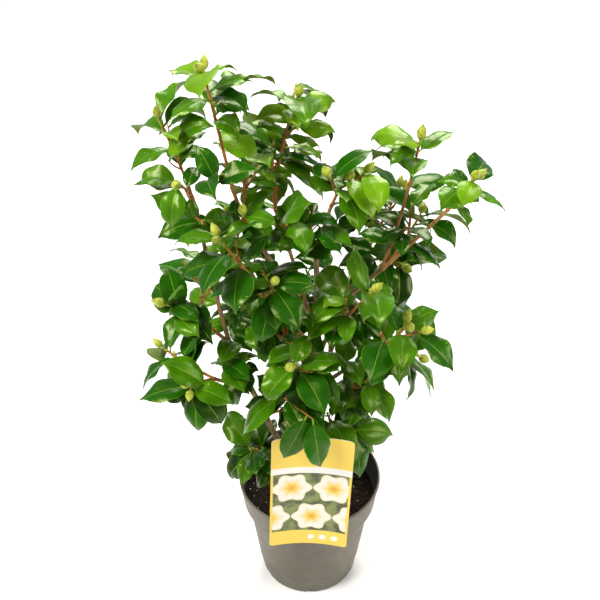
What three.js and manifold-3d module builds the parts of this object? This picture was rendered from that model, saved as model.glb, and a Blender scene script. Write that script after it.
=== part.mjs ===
// A young camellia shrub in its nursery pot: a trunk and a second stem that rise from the potting soil,
// boughs that fork off them, and sprays of glossy leaves with fat flower buds. Millimetres, +Z up, origin
// under the pot's centre. The front of the plant, where its label hangs over the rim, faces -Y.
import * as THREE from "three";
import { mergeVertices } from "three/addons/utils/BufferGeometryUtils.js";
import Module from "manifold-3d";

const wasm = await Module();
wasm.setup();

// ---- Driving dimensions ---------------------------------------------------------------------------------

const POT = {
  height: 172,
  rimRadius: 95,
  collarHeight: 42, // the wide band under the rim
  collarFootRadius: 90.6,
  bodyTopRadius: 84.3,
  bandHeight: 30, // the slightly drawn-in band above the floor
  bandStep: 0.8,
  baseRadius: 66.5,
  footRadius: 63.5, // its underside, inside the rounded edge
  footHeight: 3,
  wall: 2,
  floor: 3,
  lip: 1.2, // how far the rim's bead stands out
  sides: 28,
  slots: 6, // drainage slots through the floor's edge
  slotLength: 16,
  slotWidth: 12,
  slotHeight: 7,
};
const SOIL = { edgeHeight: 136, crownHeight: 141, gap: 0.3 };
const LABEL = {
  width: 100,
  height: 190,
  bottom: 143, // height of its lower edge
  lean: 1.8, // degrees that its top leans to the right
  thickness: 0.8,
  curl: 7, // how far its long edges come forward
  corner: 5,
  tongueWidth: 24,
  tongueInset: 7, // from the pot's wall to the tongue
  tongueDepth: 30, // how far the tongue goes into the soil
};
const GAP = 0.3; // between solids that touch
const SOIL_TOP = SOIL.crownHeight + GAP;

const TRUNK = { flare: 1.6, flareHeight: 14, sides: 8 };
const LIMB_SIDES = 6;
const TWIG_SIDES = 3;

const LEAF = {
  length: 61,
  spread: 12, // how far a leaf's length varies either way
  slim: 0.48, // width as a share of length, for the slimmest
  broad: 0.58,
  thickness: 1.2,
  shoulder: 0.3, // where along the blade its two stations lie, and their widths
  shoulderWidth: 0.94,
  waist: 0.7,
  waistWidth: 0.78,
  sunk: 0.2, // how far its root passes the twig's axis
};
const BUD = { length: 17, radius: 5.2, stalk: 5, sunk: 2, belly: 0.55 };
const SHOOT_BUD_CHANCE = 0.45; // that a side shoot ends in a bud where its mass has any
const SPRAY = {
  stemSpans: 3, // straight spans of a stem, and of a side shoot
  shootSpans: 2,
  rootShare: 0.1,
  tipSweep: 0.35, // how far a stem follows the limb that it ends, and one that it leaves on its way
  sideSweep: 0.1,
  shootSweep: 0.6,
  stemRadius: 2.3,
  tipRadius: 1.6,
  shootRadius: 1.9,
  margin: 0.8, // each mass keeps this far inside its own space
  clearance: 2.4, // between a leaf and any limb
  spacing: 6, // between the sample points of two leaves
  leafPitch: 30, // length of stem to each leaf, past the first four
  shootLeaves: 3,
  shootShare: 0.45, // a side shoot's length as a share of its stem's, between the next two
  shortestShoot: 30,
  longestShoot: 46,
  smoothing: 0.15, // slivers under this size are merged
  phyllotaxis: (137.5 * Math.PI) / 180,
};

// A place by its direction round the pot's axis in degrees (0 right, 90 back), its reach from the axis and
// its height.
function place(azimuth, reach, height) {
  const turn = THREE.MathUtils.degToRad(azimuth);
  return new THREE.Vector3(reach * Math.cos(turn), reach * Math.sin(turn), height);
}

// Each limb grows from the soil, or from a share of the way along another limb, to its tip. `sweep` bows it:
// 0 is straight, and 1 leaves wholly along the limb that bears it.
function branch(name, from, share, tip, sweep, radii) {
  return { name, from, share, tip, sweep, radii };
}
const LIMBS = [
  { name: "trunk", foot: place(15, 14, SOIL_TOP), tip: place(0, 6, 526), sweep: 0.1, radii: [6.4, 3.2] },
  { name: "left_stem", foot: place(150, 9, SOIL_TOP), tip: place(194, 101, 420), sweep: -0.1, radii: [4.6, 2.9] },
  branch("left_bough", "trunk", 0.72, place(180, 72, 565), 0.12, [2.9, 2.4]),
  branch("left_bough_upper", "left_bough", 1, place(180, 90, 634), 0.3, [2.3, 2]),
  branch("leader", "trunk", 1, place(0, 22, 596), 0.3, [2.7, 2.1]),
  branch("right_bough", "trunk", 0.74, place(358, 82, 512), 0.1, [3, 2.5]),
  branch("right_bough_outer", "right_bough", 1, place(0, 152, 590), 0.3, [2.4, 2]),
  branch("right_bough_upper", "right_bough", 1, place(16, 116, 604), 0.1, [2.3, 1.9]),
  branch("rear_left_high", "trunk", 0.66, place(130, 65, 560), 0.2, [2.8, 2.2]),
  branch("left_stem_upper", "left_stem", 1, place(167, 136, 574), 0.3, [2.7, 2.1]),
  branch("left_stem_outer", "left_stem", 1, place(194, 128, 452), 0.1, [2.4, 2.1]),
  branch("left_low_bough", "left_stem", 0.7, place(197, 122, 372), 0.1, [2.5, 2.1]),
  branch("front_bough", "trunk", 0.42, place(305, 58, 462), 0.25, [2.8, 2.2]),
  branch("front_left_bough", "trunk", 0.6, place(232, 62, 492), 0.15, [2.6, 2.1]),
  branch("right_low_bough", "trunk", 0.47, place(322, 94, 428), 0.15, [2.8, 2.2]),
  branch("rear_right_bough", "trunk", 0.6, place(49, 98, 470), 0.15, [2.8, 2.2]),
  branch("rear_left_bough", "trunk", 0.5, place(127, 100, 420), 0.15, [2.8, 2.2]),
  branch("rear_low_bough", "trunk", 0.3, place(70, 80, 330), 0.15, [2.8, 2.2]),
];

// Each mass of foliage is a tuft: its stem grows from a share of the way along a limb to its own tip.
// `shoots` is how many side shoots it has, `buds` how many flower buds end its stem, and `seed` fixes how
// its leaves fall.
function tuft(name, from, share, tip, { shoots, buds, seed }) {
  return { name, from, share, tip, shoots, buds, seed };
}
const MASSES = [
  tuft("foliage_top", "left_bough_upper", 1, place(180, 112, 755), { shoots: 0, buds: 2, seed: 14 }),
  tuft("foliage_left_top", "left_stem_upper", 1, place(170, 170, 689), { shoots: 0, buds: 1, seed: 1 }),
  tuft("foliage_left_high", "left_stem_upper", 1, place(191, 147, 641), { shoots: 1, buds: 1, seed: 29 }),
  tuft("foliage_left_between", "left_bough_upper", 1, place(190, 118, 637), { shoots: 1, buds: 0, seed: 23 }),
  tuft("foliage_left_upper_middle", "left_stem_upper", 1, place(176, 141, 569), { shoots: 1, buds: 0, seed: 9 }),
  tuft("foliage_inner_left_high", "left_bough", 1, place(157, 78, 645), { shoots: 1, buds: 2, seed: 2 }),
  tuft("foliage_rear_left_high", "rear_left_high", 1, place(125, 74, 647), { shoots: 1, buds: 2, seed: 12 }),
  tuft("foliage_top_middle", "rear_left_high", 1, place(105, 62, 699), { shoots: 0, buds: 1, seed: 30 }),
  tuft("foliage_centre_high", "leader", 1, place(0, 37, 632), { shoots: 2, buds: 2, seed: 37 }),
  tuft("foliage_right_top", "right_bough_upper", 1, place(14, 123, 660), { shoots: 0, buds: 1, seed: 4 }),
  tuft("foliage_right_tip", "right_bough_outer", 1, place(0, 178, 629), { shoots: 0, buds: 2, seed: 3 }),
  tuft("foliage_right_high", "right_bough", 1, place(17, 134, 561), { shoots: 2, buds: 1, seed: 10 }),
  tuft("foliage_right_inner", "rear_right_bough", 1, place(20, 118, 490), { shoots: 2, buds: 1, seed: 19 }),
  tuft("foliage_front_right", "front_bough", 1, place(303, 72, 512), { shoots: 1, buds: 2, seed: 16 }),
  tuft("foliage_front_right_tip", "right_low_bough", 1, place(323, 131, 488), { shoots: 2, buds: 2, seed: 35 }),
  tuft("foliage_front_left_inner", "front_left_bough", 1, place(242, 91, 546), { shoots: 1, buds: 1, seed: 37 }),
  tuft("foliage_left_inner", "left_bough", 1, place(211, 87, 610), { shoots: 1, buds: 2, seed: 16 }),
  tuft("foliage_front_left_high", "front_left_bough", 1, place(221, 129, 606), { shoots: 1, buds: 2, seed: 31 }),
  tuft("foliage_left_tip", "left_stem_outer", 1, place(194, 169, 489), { shoots: 1, buds: 1, seed: 4 }),
  tuft("foliage_left_middle", "left_stem_outer", 1, place(180, 124, 520), { shoots: 2, buds: 0, seed: 24 }),
  tuft("foliage_left_low_tip", "left_low_bough", 1, place(186, 180, 407), { shoots: 0, buds: 1, seed: 1 }),
  tuft("foliage_front_left_low", "left_low_bough", 1, place(211, 165, 401), { shoots: 1, buds: 2, seed: 33 }),
  tuft("foliage_front_low", "trunk", 0.5, place(258, 97, 443), { shoots: 2, buds: 1, seed: 41 }),
  tuft("foliage_left_heart", "trunk", 0.58, place(212, 76, 463), { shoots: 1, buds: 0, seed: 9 }),
  tuft("foliage_right_low", "right_low_bough", 1, place(343, 134, 412), { shoots: 1, buds: 1, seed: 41 }),
  tuft("foliage_foot_right", "trunk", 0.3, place(313, 76, 304), { shoots: 1, buds: 0, seed: 42 }),
  tuft("foliage_foot_left", "left_stem", 0.25, place(201, 84, 246), { shoots: 0, buds: 0, seed: 25 }),
  tuft("foliage_rear_right_high", "rear_right_bough", 1, place(50, 172, 540), { shoots: 2, buds: 1, seed: 42 }),
  tuft("foliage_rear_right_low", "rear_low_bough", 1, place(52, 150, 396), { shoots: 2, buds: 1, seed: 4 }),
  tuft("foliage_rear_left_top", "rear_left_bough", 1, place(132, 168, 500), { shoots: 2, buds: 1, seed: 4 }),
  tuft("foliage_rear_left_low", "rear_left_bough", 1, place(140, 150, 384), { shoots: 2, buds: 0, seed: 9 }),
  tuft("foliage_rear_high", "rear_left_high", 1, place(110, 134, 606), { shoots: 2, buds: 1, seed: 29 }),
  tuft("foliage_rear_low", "rear_low_bough", 1, place(92, 140, 410), { shoots: 2, buds: 0, seed: 39 }),
  tuft("foliage_right_heart", "trunk", 0.4, place(319, 91, 392), { shoots: 2, buds: 0, seed: 33 }),
  tuft("foliage_front_foot", "trunk", 0.38, place(244, 84, 380), { shoots: 2, buds: 0, seed: 14 }),
  tuft("foliage_left_fork", "left_stem", 0.78, place(210, 122, 424), { shoots: 1, buds: 0, seed: 13 }),
  tuft("foliage_heart", "front_bough", 1, place(317, 89, 520), { shoots: 1, buds: 1, seed: 8 }),
  tuft("foliage_centre", "trunk", 1, place(240, 35, 596), { shoots: 2, buds: 0, seed: 30 }),
];

// ---- Seeded chance and solids ---------------------------------------------------------------------------

// A chance from 0 to 1 that a mass's seed fixes, with the numbers of a shoot, a leaf on it and a trait of
// the leaf.
function chance(mass, shoot, leaf, trait) {
  let mix = Math.imul(MASSES[mass].seed + 1, 0x9e3779b1) ^ Math.imul(shoot + 1, 0x85ebca6b);
  mix ^= Math.imul(leaf + 1, 0xc2b2ae35) ^ Math.imul(trait + 1, 0x27d4eb2f);
  mix = Math.imul(mix ^ (mix >>> 15), 0x2c1b3c6d);
  mix = Math.imul(mix ^ (mix >>> 12), 0x297a2d39);
  return ((mix ^ (mix >>> 15)) >>> 0) / 4294967296;
}

// A closed geometry as a solid, without the slivers that its poles leave once their vertices are merged.
function solidOf(geometry) {
  const bare = new THREE.BufferGeometry();
  bare.setAttribute("position", geometry.getAttribute("position"));
  bare.setIndex(geometry.index);
  const merged = mergeVertices(bare, 1e-4);
  const corners = merged.index.array;
  const kept = [];
  for (let i = 0; i < corners.length; i += 3) {
    const [a, b, c] = [corners[i], corners[i + 1], corners[i + 2]];
    if (a !== b && b !== c && c !== a) kept.push(a, b, c);
  }
  const vertProperties = merged.getAttribute("position").array;
  return new wasm.Manifold(new wasm.Mesh({ numProp: 3, vertProperties, triVerts: new Uint32Array(kept) }));
}

function geometryOf(solid) {
  const { vertProperties, triVerts } = solid.getMesh();
  const geometry = new THREE.BufferGeometry();
  geometry.setAttribute("position", new THREE.BufferAttribute(new Float32Array(vertProperties), 3));
  geometry.setIndex(new THREE.BufferAttribute(new Uint32Array(triVerts), 1));
  geometry.computeVertexNormals();
  return geometry;
}

function largestPiece(solid) {
  const pieces = solid.decompose();
  return pieces.reduce((largest, piece) => (piece.volume() > largest.volume() ? piece : largest));
}

// Moves every vertex of a geometry to where `moved` says.
function reshape(geometry, moved) {
  const position = geometry.getAttribute("position");
  const vertex = new THREE.Vector3();
  for (let i = 0; i < position.count; i += 1) {
    const { x, y, z } = moved(vertex.fromBufferAttribute(position, i));
    position.setXYZ(i, x, y, z);
  }
  return geometry;
}

// ---- Limbs and twigs ------------------------------------------------------------------------------------

const UP = new THREE.Vector3(0, 0, 1);
const LEVEL = [new THREE.Vector3(1, 0, 0), new THREE.Vector3(0, 1, 0)];

// Of the level directions, the one that a limb runs across the more.
function referenceFor(axis) {
  return Math.abs(axis.x) < Math.abs(axis.y) ? LEVEL[0] : LEVEL[1];
}

// Two directions square to `axis`, the first as near to `reference` as it goes.
function crossAxes(axis, reference = referenceFor(axis)) {
  const first = reference.clone().addScaledVector(axis, -reference.dot(axis)).normalize();
  const second = axis.clone().cross(first);
  return [first, second];
}

// The direction square to an axis at an angle round it.
function outwardFrom(axis, around) {
  const [first, second] = crossAxes(axis);
  return first.multiplyScalar(Math.cos(around)).addScaledVector(second, Math.sin(around));
}

// A limb is a turned, tapering form bent along its route. `swell` widens it, to cut room for it out of
// others, and `rootShare` is how much of its length a side shoot takes to widen from the point that it
// starts from.
function limbSolid(route, radii, sides, shape = {}) {
  const { spans = 3, swell = 0, flare = 1, flareHeight = 0, rootShare = 0 } = shape;
  const [footRadius, tipRadius] = radii;
  const length = route.getLength();
  const flareShare = flareHeight / length;
  const shares = [rootShare];
  if (flareHeight) shares.push(flareShare * 0.35, flareShare);
  for (let i = 1; i <= spans; i += 1) {
    const share = i / spans;
    if (share > flareShare) shares.push(share);
  }
  const radiusAt = (share) => {
    const taper = THREE.MathUtils.lerp(footRadius, tipRadius, share);
    const widening = flareHeight ? 1 + (flare - 1) * Math.max(0, 1 - share / flareShare) ** 2 : 1;
    return taper * widening + swell;
  };
  const profile = [new THREE.Vector2(0, 0)];
  for (const share of shares) profile.push(new THREE.Vector2(radiusAt(share), share));
  profile.push(new THREE.Vector2(0, 1));
  const reference = referenceFor(route.getPoint(1).sub(route.getPoint(0)));
  return solidOf(
    reshape(new THREE.LatheGeometry(profile, sides), ({ x, y: share, z }) => {
      const axis = share === 0 && flareHeight ? UP.clone() : route.getTangent(share);
      const [first, second] = crossAxes(axis, reference);
      const overshoot = share === 0 ? -swell : share === 1 ? swell : 0;
      return route
        .getPoint(share)
        .addScaledVector(axis, overshoot)
        .addScaledVector(first, x)
        .addScaledVector(second, z * -1);
    }),
  );
}

// The bent route from a start that leaves along `heading` by `sweep` of the way to its tip.
function bentRoute(start, heading, tip, sweep) {
  const span = start.distanceTo(tip);
  const middle = start.clone().lerp(tip, 0.5);
  const along = start.clone().addScaledVector(heading, span * 0.5);
  return new THREE.QuadraticBezierCurve3(start, middle.lerp(along, sweep), tip);
}

const ROUTES = new Map();
for (const limb of LIMBS) {
  const bearer = limb.from && ROUTES.get(limb.from);
  const start = bearer ? bearer.getPoint(limb.share) : limb.foot;
  const heading = bearer ? bearer.getTangent(limb.share) : UP;
  ROUTES.set(limb.name, bentRoute(start, heading, limb.tip, limb.sweep));
}
const STEMS = MASSES.map(({ from, share, tip }) => {
  const bearer = ROUTES.get(from);
  const sweep = share === 1 ? SPRAY.tipSweep : SPRAY.sideSweep;
  return bentRoute(bearer.getPoint(share), bearer.getTangent(share), tip, sweep);
});

// ---- The space that each mass keeps to ------------------------------------------------------------------

const HEART_SHARE = 0.8;
const HEARTS = STEMS.map((stem) => stem.getPoint(HEART_SHARE));

// True where a point lies on a mass's own side of the plane midway to every other mass.
function inOwnSpace(mass, point) {
  const own = HEARTS[mass];
  return HEARTS.every((other, i) => {
    if (i === mass) return true;
    const across = other.clone().sub(own);
    const distance = across.length();
    const reach = point.clone().sub(own).dot(across) / distance;
    return reach < distance / 2 - SPRAY.margin;
  });
}

const OBSTACLE_STEPS = 8;
function obstacleOf(route, [footRadius, tipRadius]) {
  const points = route.getPoints(OBSTACLE_STEPS);
  return points.slice(1).map((end, i) => ({
    line: new THREE.Line3(points[i], end),
    radius: THREE.MathUtils.lerp(footRadius, tipRadius, (i + 0.5) / OBSTACLE_STEPS),
  }));
}
const LIMB_OBSTACLES = LIMBS.flatMap((limb) => obstacleOf(ROUTES.get(limb.name), limb.radii));
const STEM_OBSTACLES = STEMS.map((stem) => obstacleOf(stem, [SPRAY.stemRadius, SPRAY.tipRadius]));

function meets(obstacles, point, clearance) {
  const nearest = new THREE.Vector3();
  return obstacles.some(({ line, radius }) => {
    line.closestPointToPoint(point, true, nearest);
    return nearest.distanceTo(point) < radius + clearance;
  });
}

// True where a point is clear of every limb, of the other masses' stems, of the pot and of the label.
function isClear(mass, point, clearance) {
  if (meets(LIMB_OBSTACLES, point, clearance)) return false;
  if (STEM_OBSTACLES.some((stem, i) => i !== mass && meets(stem, point, clearance))) return false;
  const overPot = Math.hypot(point.x, point.y) < POT.rimRadius + POT.lip + clearance;
  if (overPot && point.z < POT.height + clearance) return false;
  const acrossLabel = Math.abs(point.x) < LABEL.width / 2 + clearance + LABEL.curl;
  const labelFront = -POT.rimRadius - LABEL.curl - 2 * clearance;
  const labelBack = -POT.rimRadius + clearance;
  const throughLabel = point.y > labelFront && point.y < labelBack;
  return !(acrossLabel && throughLabel && point.z < LABEL.bottom + LABEL.height + clearance);
}

// ---- Leaves, buds and sprays ----------------------------------------------------------------------------

// A point of a blade: `share` runs from root to tip, `across` is to one side of the midrib and `under` is
// below it. The midrib is an arc that bends away from the blade's upper face.
function bladePoint(leaf, share, across, under = 0) {
  const turned = leaf.arch * share;
  const ahead = (leaf.length * Math.sin(turned)) / leaf.arch;
  const down = (leaf.length * (1 - Math.cos(turned))) / leaf.arch;
  return leaf.root
    .clone()
    .addScaledVector(leaf.heading, ahead - under * Math.sin(turned))
    .addScaledVector(leaf.face, -down - under * Math.cos(turned))
    .addScaledVector(leaf.side, across);
}

function leafStations(leaf) {
  return [
    [LEAF.shoulder, (LEAF.shoulderWidth * leaf.width) / 2],
    [LEAF.waist, (LEAF.waistWidth * leaf.width) / 2],
  ];
}

// A leaf is a ball of two three-cornered rings, drawn out into an arching blade: its root and tip are the
// poles, two corners of each ring are the blade's edges and the third is the keel under its midrib.
function leafSolid(leaf) {
  const stations = leafStations(leaf);
  return solidOf(
    reshape(new THREE.SphereGeometry(1, 3, 3), ({ x, y, z }) => {
      if (y > 0.9) return bladePoint(leaf, 0, 0);
      if (y < -0.9) return bladePoint(leaf, 1, 0);
      const [share, halfWidth] = stations[y > 0 ? 0 : 1];
      const isKeel = Math.abs(z) < 0.1;
      if (isKeel) return bladePoint(leaf, share, 0, LEAF.thickness);
      return bladePoint(leaf, share, -Math.sign(z) * halfWidth);
    }),
  );
}

// Points spread over a blade, from a third of the way along it to its tip.
const BLADE_ROWS = 7;
function bladeSamples(leaf) {
  const samples = [];
  for (let row = 2; row <= BLADE_ROWS; row += 1) {
    const share = row / BLADE_ROWS;
    const halfWidth = (leaf.width / 2) * Math.sin(Math.PI * Math.min(share * 0.9 + 0.1, 1));
    for (const across of [-1, -0.5, 0, 0.5, 1]) samples.push(bladePoint(leaf, share, across * halfWidth));
  }
  return samples;
}

// True where a leaf stays in its mass's space, off all limbs and twigs and off the leaves already there.
function leafFits(mass, leaf, twigs, neighbours) {
  const shoulderSlope = (LEAF.shoulderWidth * leaf.width) / 2 / LEAF.shoulder;
  const base = [0.05, 0.1, 0.15, 0.2, 0.25].flatMap((share) =>
    [-1, 0, 1].map((across) => bladePoint(leaf, share, across * share * shoulderSlope)),
  );
  const corners = [...base, bladePoint(leaf, 1, 0)];
  for (const [share, halfWidth] of leafStations(leaf)) {
    corners.push(bladePoint(leaf, share, halfWidth), bladePoint(leaf, share, -halfWidth));
  }
  if (!corners.every((point) => inOwnSpace(mass, point))) return false;
  if (!base.every((point) => isClear(mass, point, SPRAY.margin))) return false;
  const apart = (point) =>
    neighbours.every((other) => other.samples.every((sample) => sample.distanceTo(point) > SPRAY.spacing));
  const { clearance } = SPRAY;
  return leaf.samples.every(
    (point) => apart(point) && !meets(twigs, point, clearance) && isClear(mass, point, clearance),
  );
}

// The leaf at one node of a shoot: it leaves by its angle to the shoot, lifts towards the light and arches
// over. A leaf that doesn't fit is tried again further round the shoot, and then smaller, and is left out at
// the last.
const TURNS = [0, 0.6, -0.6, 1.2, -1.2, 1.9, -1.9, 2.6];
function leafAt({ mass, twigs, leaves }, shoot, node, root, axis, azimuth, angle) {
  const roll = (trait) => chance(mass, shoot, node, trait);
  const length = LEAF.length + LEAF.spread * (2 * roll(0) - 1);
  const width = THREE.MathUtils.lerp(LEAF.slim, LEAF.broad, roll(1)) * length;
  const arch = 0.5 + 1.1 * roll(2);
  for (const shrink of [1, 0.8]) {
    for (const turn of TURNS) {
      const around = azimuth + turn;
      const outward = outwardFrom(axis, around);
      const heading = axis.clone().multiplyScalar(Math.cos(angle)).addScaledVector(outward, Math.sin(angle));
      heading.addScaledVector(UP, 0.12).normalize();
      const face = UP.clone().addScaledVector(axis, 0.6).addScaledVector(outward, 0.7 * (roll(3) - 0.5));
      face.addScaledVector(heading, -face.dot(heading)).normalize();
      const side = face.clone().cross(heading);
      const leaf = { root: root.clone().addScaledVector(heading, -LEAF.sunk), heading, face, side, arch };
      leaf.length = length * shrink;
      leaf.width = width * shrink;
      leaf.samples = bladeSamples(leaf);
      if (leafFits(mass, leaf, twigs, leaves)) return leaf;
    }
  }
  return null;
}

// A point on the axis of a twig that is made of straight spans.
function axisPoint(route, spans, share) {
  const span = Math.min(Math.floor(share * spans), spans - 1);
  return route.getPoint(span / spans).lerp(route.getPoint((span + 1) / spans), share * spans - span);
}

// Adds the leaves of one shoot, spaced closer towards its tip, each a golden angle round from the last.
function growLeaves(spray, shoot, route, count, firstShare) {
  const spans = shoot === 0 ? SPRAY.stemSpans : SPRAY.shootSpans;
  for (let node = 0; node < count; node += 1) {
    const share = THREE.MathUtils.lerp(firstShare, 0.98, (node / (count - 1)) ** 0.7);
    const azimuth = 2 * Math.PI * chance(spray.mass, shoot, 99, 0) + node * SPRAY.phyllotaxis;
    const angle = THREE.MathUtils.lerp(1.45, 1.05, share) + 0.4 * (chance(spray.mass, shoot, node, 4) - 0.5);
    const root = axisPoint(route, spans, share);
    const leaf = leafAt(spray, shoot, node, root, route.getTangent(share), azimuth, angle);
    if (leaf) spray.leaves.push(leaf);
  }
}

// The side shoots of a mass: each leaves its stem a golden angle round from the last and turns up towards
// the light.
function shootsOn(mass, stem, count) {
  const shoots = [];
  const reach = stem.getLength();
  for (let i = 1; i <= count; i += 1) {
    const share = 0.3 + (0.5 * (i - 0.5)) / count;
    const start = axisPoint(stem, SPRAY.stemSpans, share);
    const axis = stem.getTangent(share);
    const length = THREE.MathUtils.clamp(reach * SPRAY.shootShare, SPRAY.shortestShoot, SPRAY.longestShoot);
    for (const turn of TURNS) {
      const around = 2 * Math.PI * chance(mass, 0, 97, 0) + i * SPRAY.phyllotaxis + turn;
      const heading = axis.clone().multiplyScalar(0.75).add(outwardFrom(axis, around)).normalize();
      const lifted = heading.clone().addScaledVector(UP, 0.45).normalize();
      const tip = start.clone().addScaledVector(lifted, length);
      const route = bentRoute(start, heading, tip, SPRAY.shootSweep);
      const along = [0, 0.2, 0.4, 0.6, 0.8, 1].map((at) => route.getPoint(at));
      const fits = along.every((point) => isClear(mass, point, SPRAY.clearance) && inOwnSpace(mass, point));
      if (fits) {
        shoots.push({ index: i, route });
        break;
      }
    }
  }
  return shoots;
}

// A pointed flower bud on a short stalk, sunk in the tip that bears it.
function budSolid(root, heading) {
  const [first, second] = crossAxes(heading);
  const total = BUD.stalk + BUD.length;
  return solidOf(
    reshape(new THREE.SphereGeometry(1, 4, 2), ({ x, y, z }) => {
      const share = y > 0.9 ? 0 : y < -0.9 ? 1 : BUD.belly;
      return root
        .clone()
        .addScaledVector(heading, total * share)
        .addScaledVector(first, x * BUD.radius)
        .addScaledVector(second, z * BUD.radius);
    }),
  );
}

function budsAt(mass, shoot, tip, axis, count) {
  const buds = [];
  for (let i = 0; i < count; i += 1) {
    const around = 2 * Math.PI * (chance(mass, shoot, 96, 0) + i / Math.max(count, 1));
    const lean = count > 1 ? 0.75 : 0.25;
    const heading = axis.clone().addScaledVector(outwardFrom(axis, around), lean).normalize();
    const root = tip.clone().addScaledVector(axis, -BUD.sunk);
    const end = root.clone().addScaledVector(heading, BUD.stalk + BUD.length);
    const middle = root.clone().lerp(end, 0.6);
    const fits = [middle, end].every(
      (point) => inOwnSpace(mass, point) && isClear(mass, point, BUD.radius + SPRAY.margin),
    );
    if (fits) buds.push({ root, heading });
  }
  return buds;
}

// One whole mass of foliage, as a list of what grows in it.
function sprayOf(mass) {
  const { shoots: shootCount, buds: budCount } = MASSES[mass];
  const stem = STEMS[mass];
  const shoots = shootsOn(mass, stem, shootCount);
  const shootRadii = [SPRAY.shootRadius, SPRAY.tipRadius];
  const twigs = [...STEM_OBSTACLES[mass], ...shoots.flatMap(({ route }) => obstacleOf(route, shootRadii))];
  const spray = { mass, stem, shoots, twigs, leaves: [], buds: [] };
  const leafCount = 4 + Math.round(stem.getLength() / SPRAY.leafPitch);
  growLeaves(spray, 0, stem, leafCount, shoots.length ? 0.4 : 0.25);
  spray.buds.push(...budsAt(mass, 0, stem.getPoint(1), stem.getTangent(1), budCount));
  for (const { index, route } of shoots) {
    growLeaves(spray, index, route, SPRAY.shootLeaves, 0.5);
    const shootBuds = budCount > 0 && chance(mass, index, 94, 0) > 1 - SHOOT_BUD_CHANCE ? 1 : 0;
    spray.buds.push(...budsAt(mass, index, route.getPoint(1), route.getTangent(1), shootBuds));
  }
  return spray;
}

function spraySolid({ stem, shoots, leaves, buds }) {
  const { stemRadius, tipRadius, shootRadius, stemSpans, shootSpans, rootShare } = SPRAY;
  const parts = [limbSolid(stem, [stemRadius, tipRadius], TWIG_SIDES, { spans: stemSpans })];
  for (const { route } of shoots) {
    parts.push(limbSolid(route, [shootRadius, tipRadius], TWIG_SIDES, { spans: shootSpans, rootShare }));
  }
  for (const leaf of leaves) parts.push(leafSolid(leaf));
  for (const { root, heading } of buds) parts.push(budSolid(root, heading));
  return wasm.Manifold.union(parts);
}

// ---- Pot, soil and label --------------------------------------------------------------------------------

// The pot's outside, from the middle of its underside to the top of its rim, as [radius, height].
function potOutside() {
  const bodyTop = POT.height - POT.collarHeight;
  const bandTaper = (POT.bodyTopRadius - POT.baseRadius) / bodyTop;
  const bandRadius = POT.baseRadius + bandTaper * POT.bandHeight;
  return [
    [0, 0],
    [POT.footRadius, 0],
    [POT.baseRadius, POT.footHeight],
    [bandRadius, POT.bandHeight],
    [bandRadius + POT.bandStep, POT.bandHeight + 1],
    [POT.bodyTopRadius, bodyTop],
    [POT.collarFootRadius, bodyTop + 1.5],
    [POT.rimRadius, POT.height - 4],
    [POT.rimRadius + POT.lip, POT.height - 3],
    [POT.rimRadius + POT.lip, POT.height - 0.8],
    [POT.rimRadius + POT.lip - 0.8, POT.height],
  ];
}

function potInside() {
  const bodyTop = POT.height - POT.collarHeight;
  return [
    [POT.rimRadius - POT.wall, POT.height],
    [POT.collarFootRadius - POT.wall, bodyTop + 2.5],
    [POT.bodyTopRadius - POT.wall, bodyTop],
    [POT.baseRadius - POT.wall + 0.4, POT.floor],
    [0, POT.floor],
  ];
}

function turned(profile, sides) {
  const points = profile.map(([radius, height]) => new THREE.Vector2(radius, height));
  return solidOf(new THREE.LatheGeometry(points, sides).rotateX(Math.PI / 2));
}

function boxSolid(width, depth, height, x, y, z) {
  return solidOf(new THREE.BoxGeometry(width, depth, height).translate(x, y, z));
}

function potSolid() {
  let pot = turned([...potOutside(), ...potInside()], POT.sides);
  for (let i = 0; i < POT.slots; i += 1) {
    const slot = new THREE.BoxGeometry(POT.slotLength, POT.slotWidth, POT.slotHeight);
    slot.translate(POT.footRadius, 0, POT.slotHeight / 2 - 1);
    slot.rotateZ(((i + 0.5) / POT.slots) * 2 * Math.PI);
    pot = pot.subtract(solidOf(slot));
  }
  return pot;
}

// The card's outline in plan: its long edges curl forward from a middle that touches the pot's rim.
function labelSection() {
  const steps = 10;
  const front = -POT.rimRadius - POT.lip - GAP - LABEL.thickness;
  const curve = (offset) => {
    const points = [];
    for (let i = 0; i <= steps; i += 1) {
      const across = (i / steps) * 2 - 1;
      const forward = LABEL.curl * across * across;
      points.push(new THREE.Vector2((across * LABEL.width) / 2, front + offset - forward));
    }
    return points;
  };
  return new THREE.Shape([...curve(0), ...curve(LABEL.thickness).reverse()]);
}

function tongueSolid(swell) {
  const width = LABEL.tongueWidth + 2 * swell;
  const thick = LABEL.thickness + 2 * swell;
  const inside = -POT.bodyTopRadius + POT.wall + LABEL.tongueInset;
  const outside = -POT.rimRadius - POT.lip - GAP;
  const bridgeHeight = POT.height + GAP + LABEL.thickness / 2;
  const tongueFoot = SOIL.edgeHeight - LABEL.tongueDepth;
  const tongueLength = bridgeHeight - tongueFoot;
  const span = inside - outside + LABEL.thickness;
  const bridge = boxSolid(width, span, thick, 0, (inside + outside) / 2, bridgeHeight);
  const middle = (bridgeHeight + tongueFoot) / 2;
  const down = boxSolid(width, thick, tongueLength + 2 * swell + LABEL.thickness, 0, inside, middle);
  return bridge.add(down);
}

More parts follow.
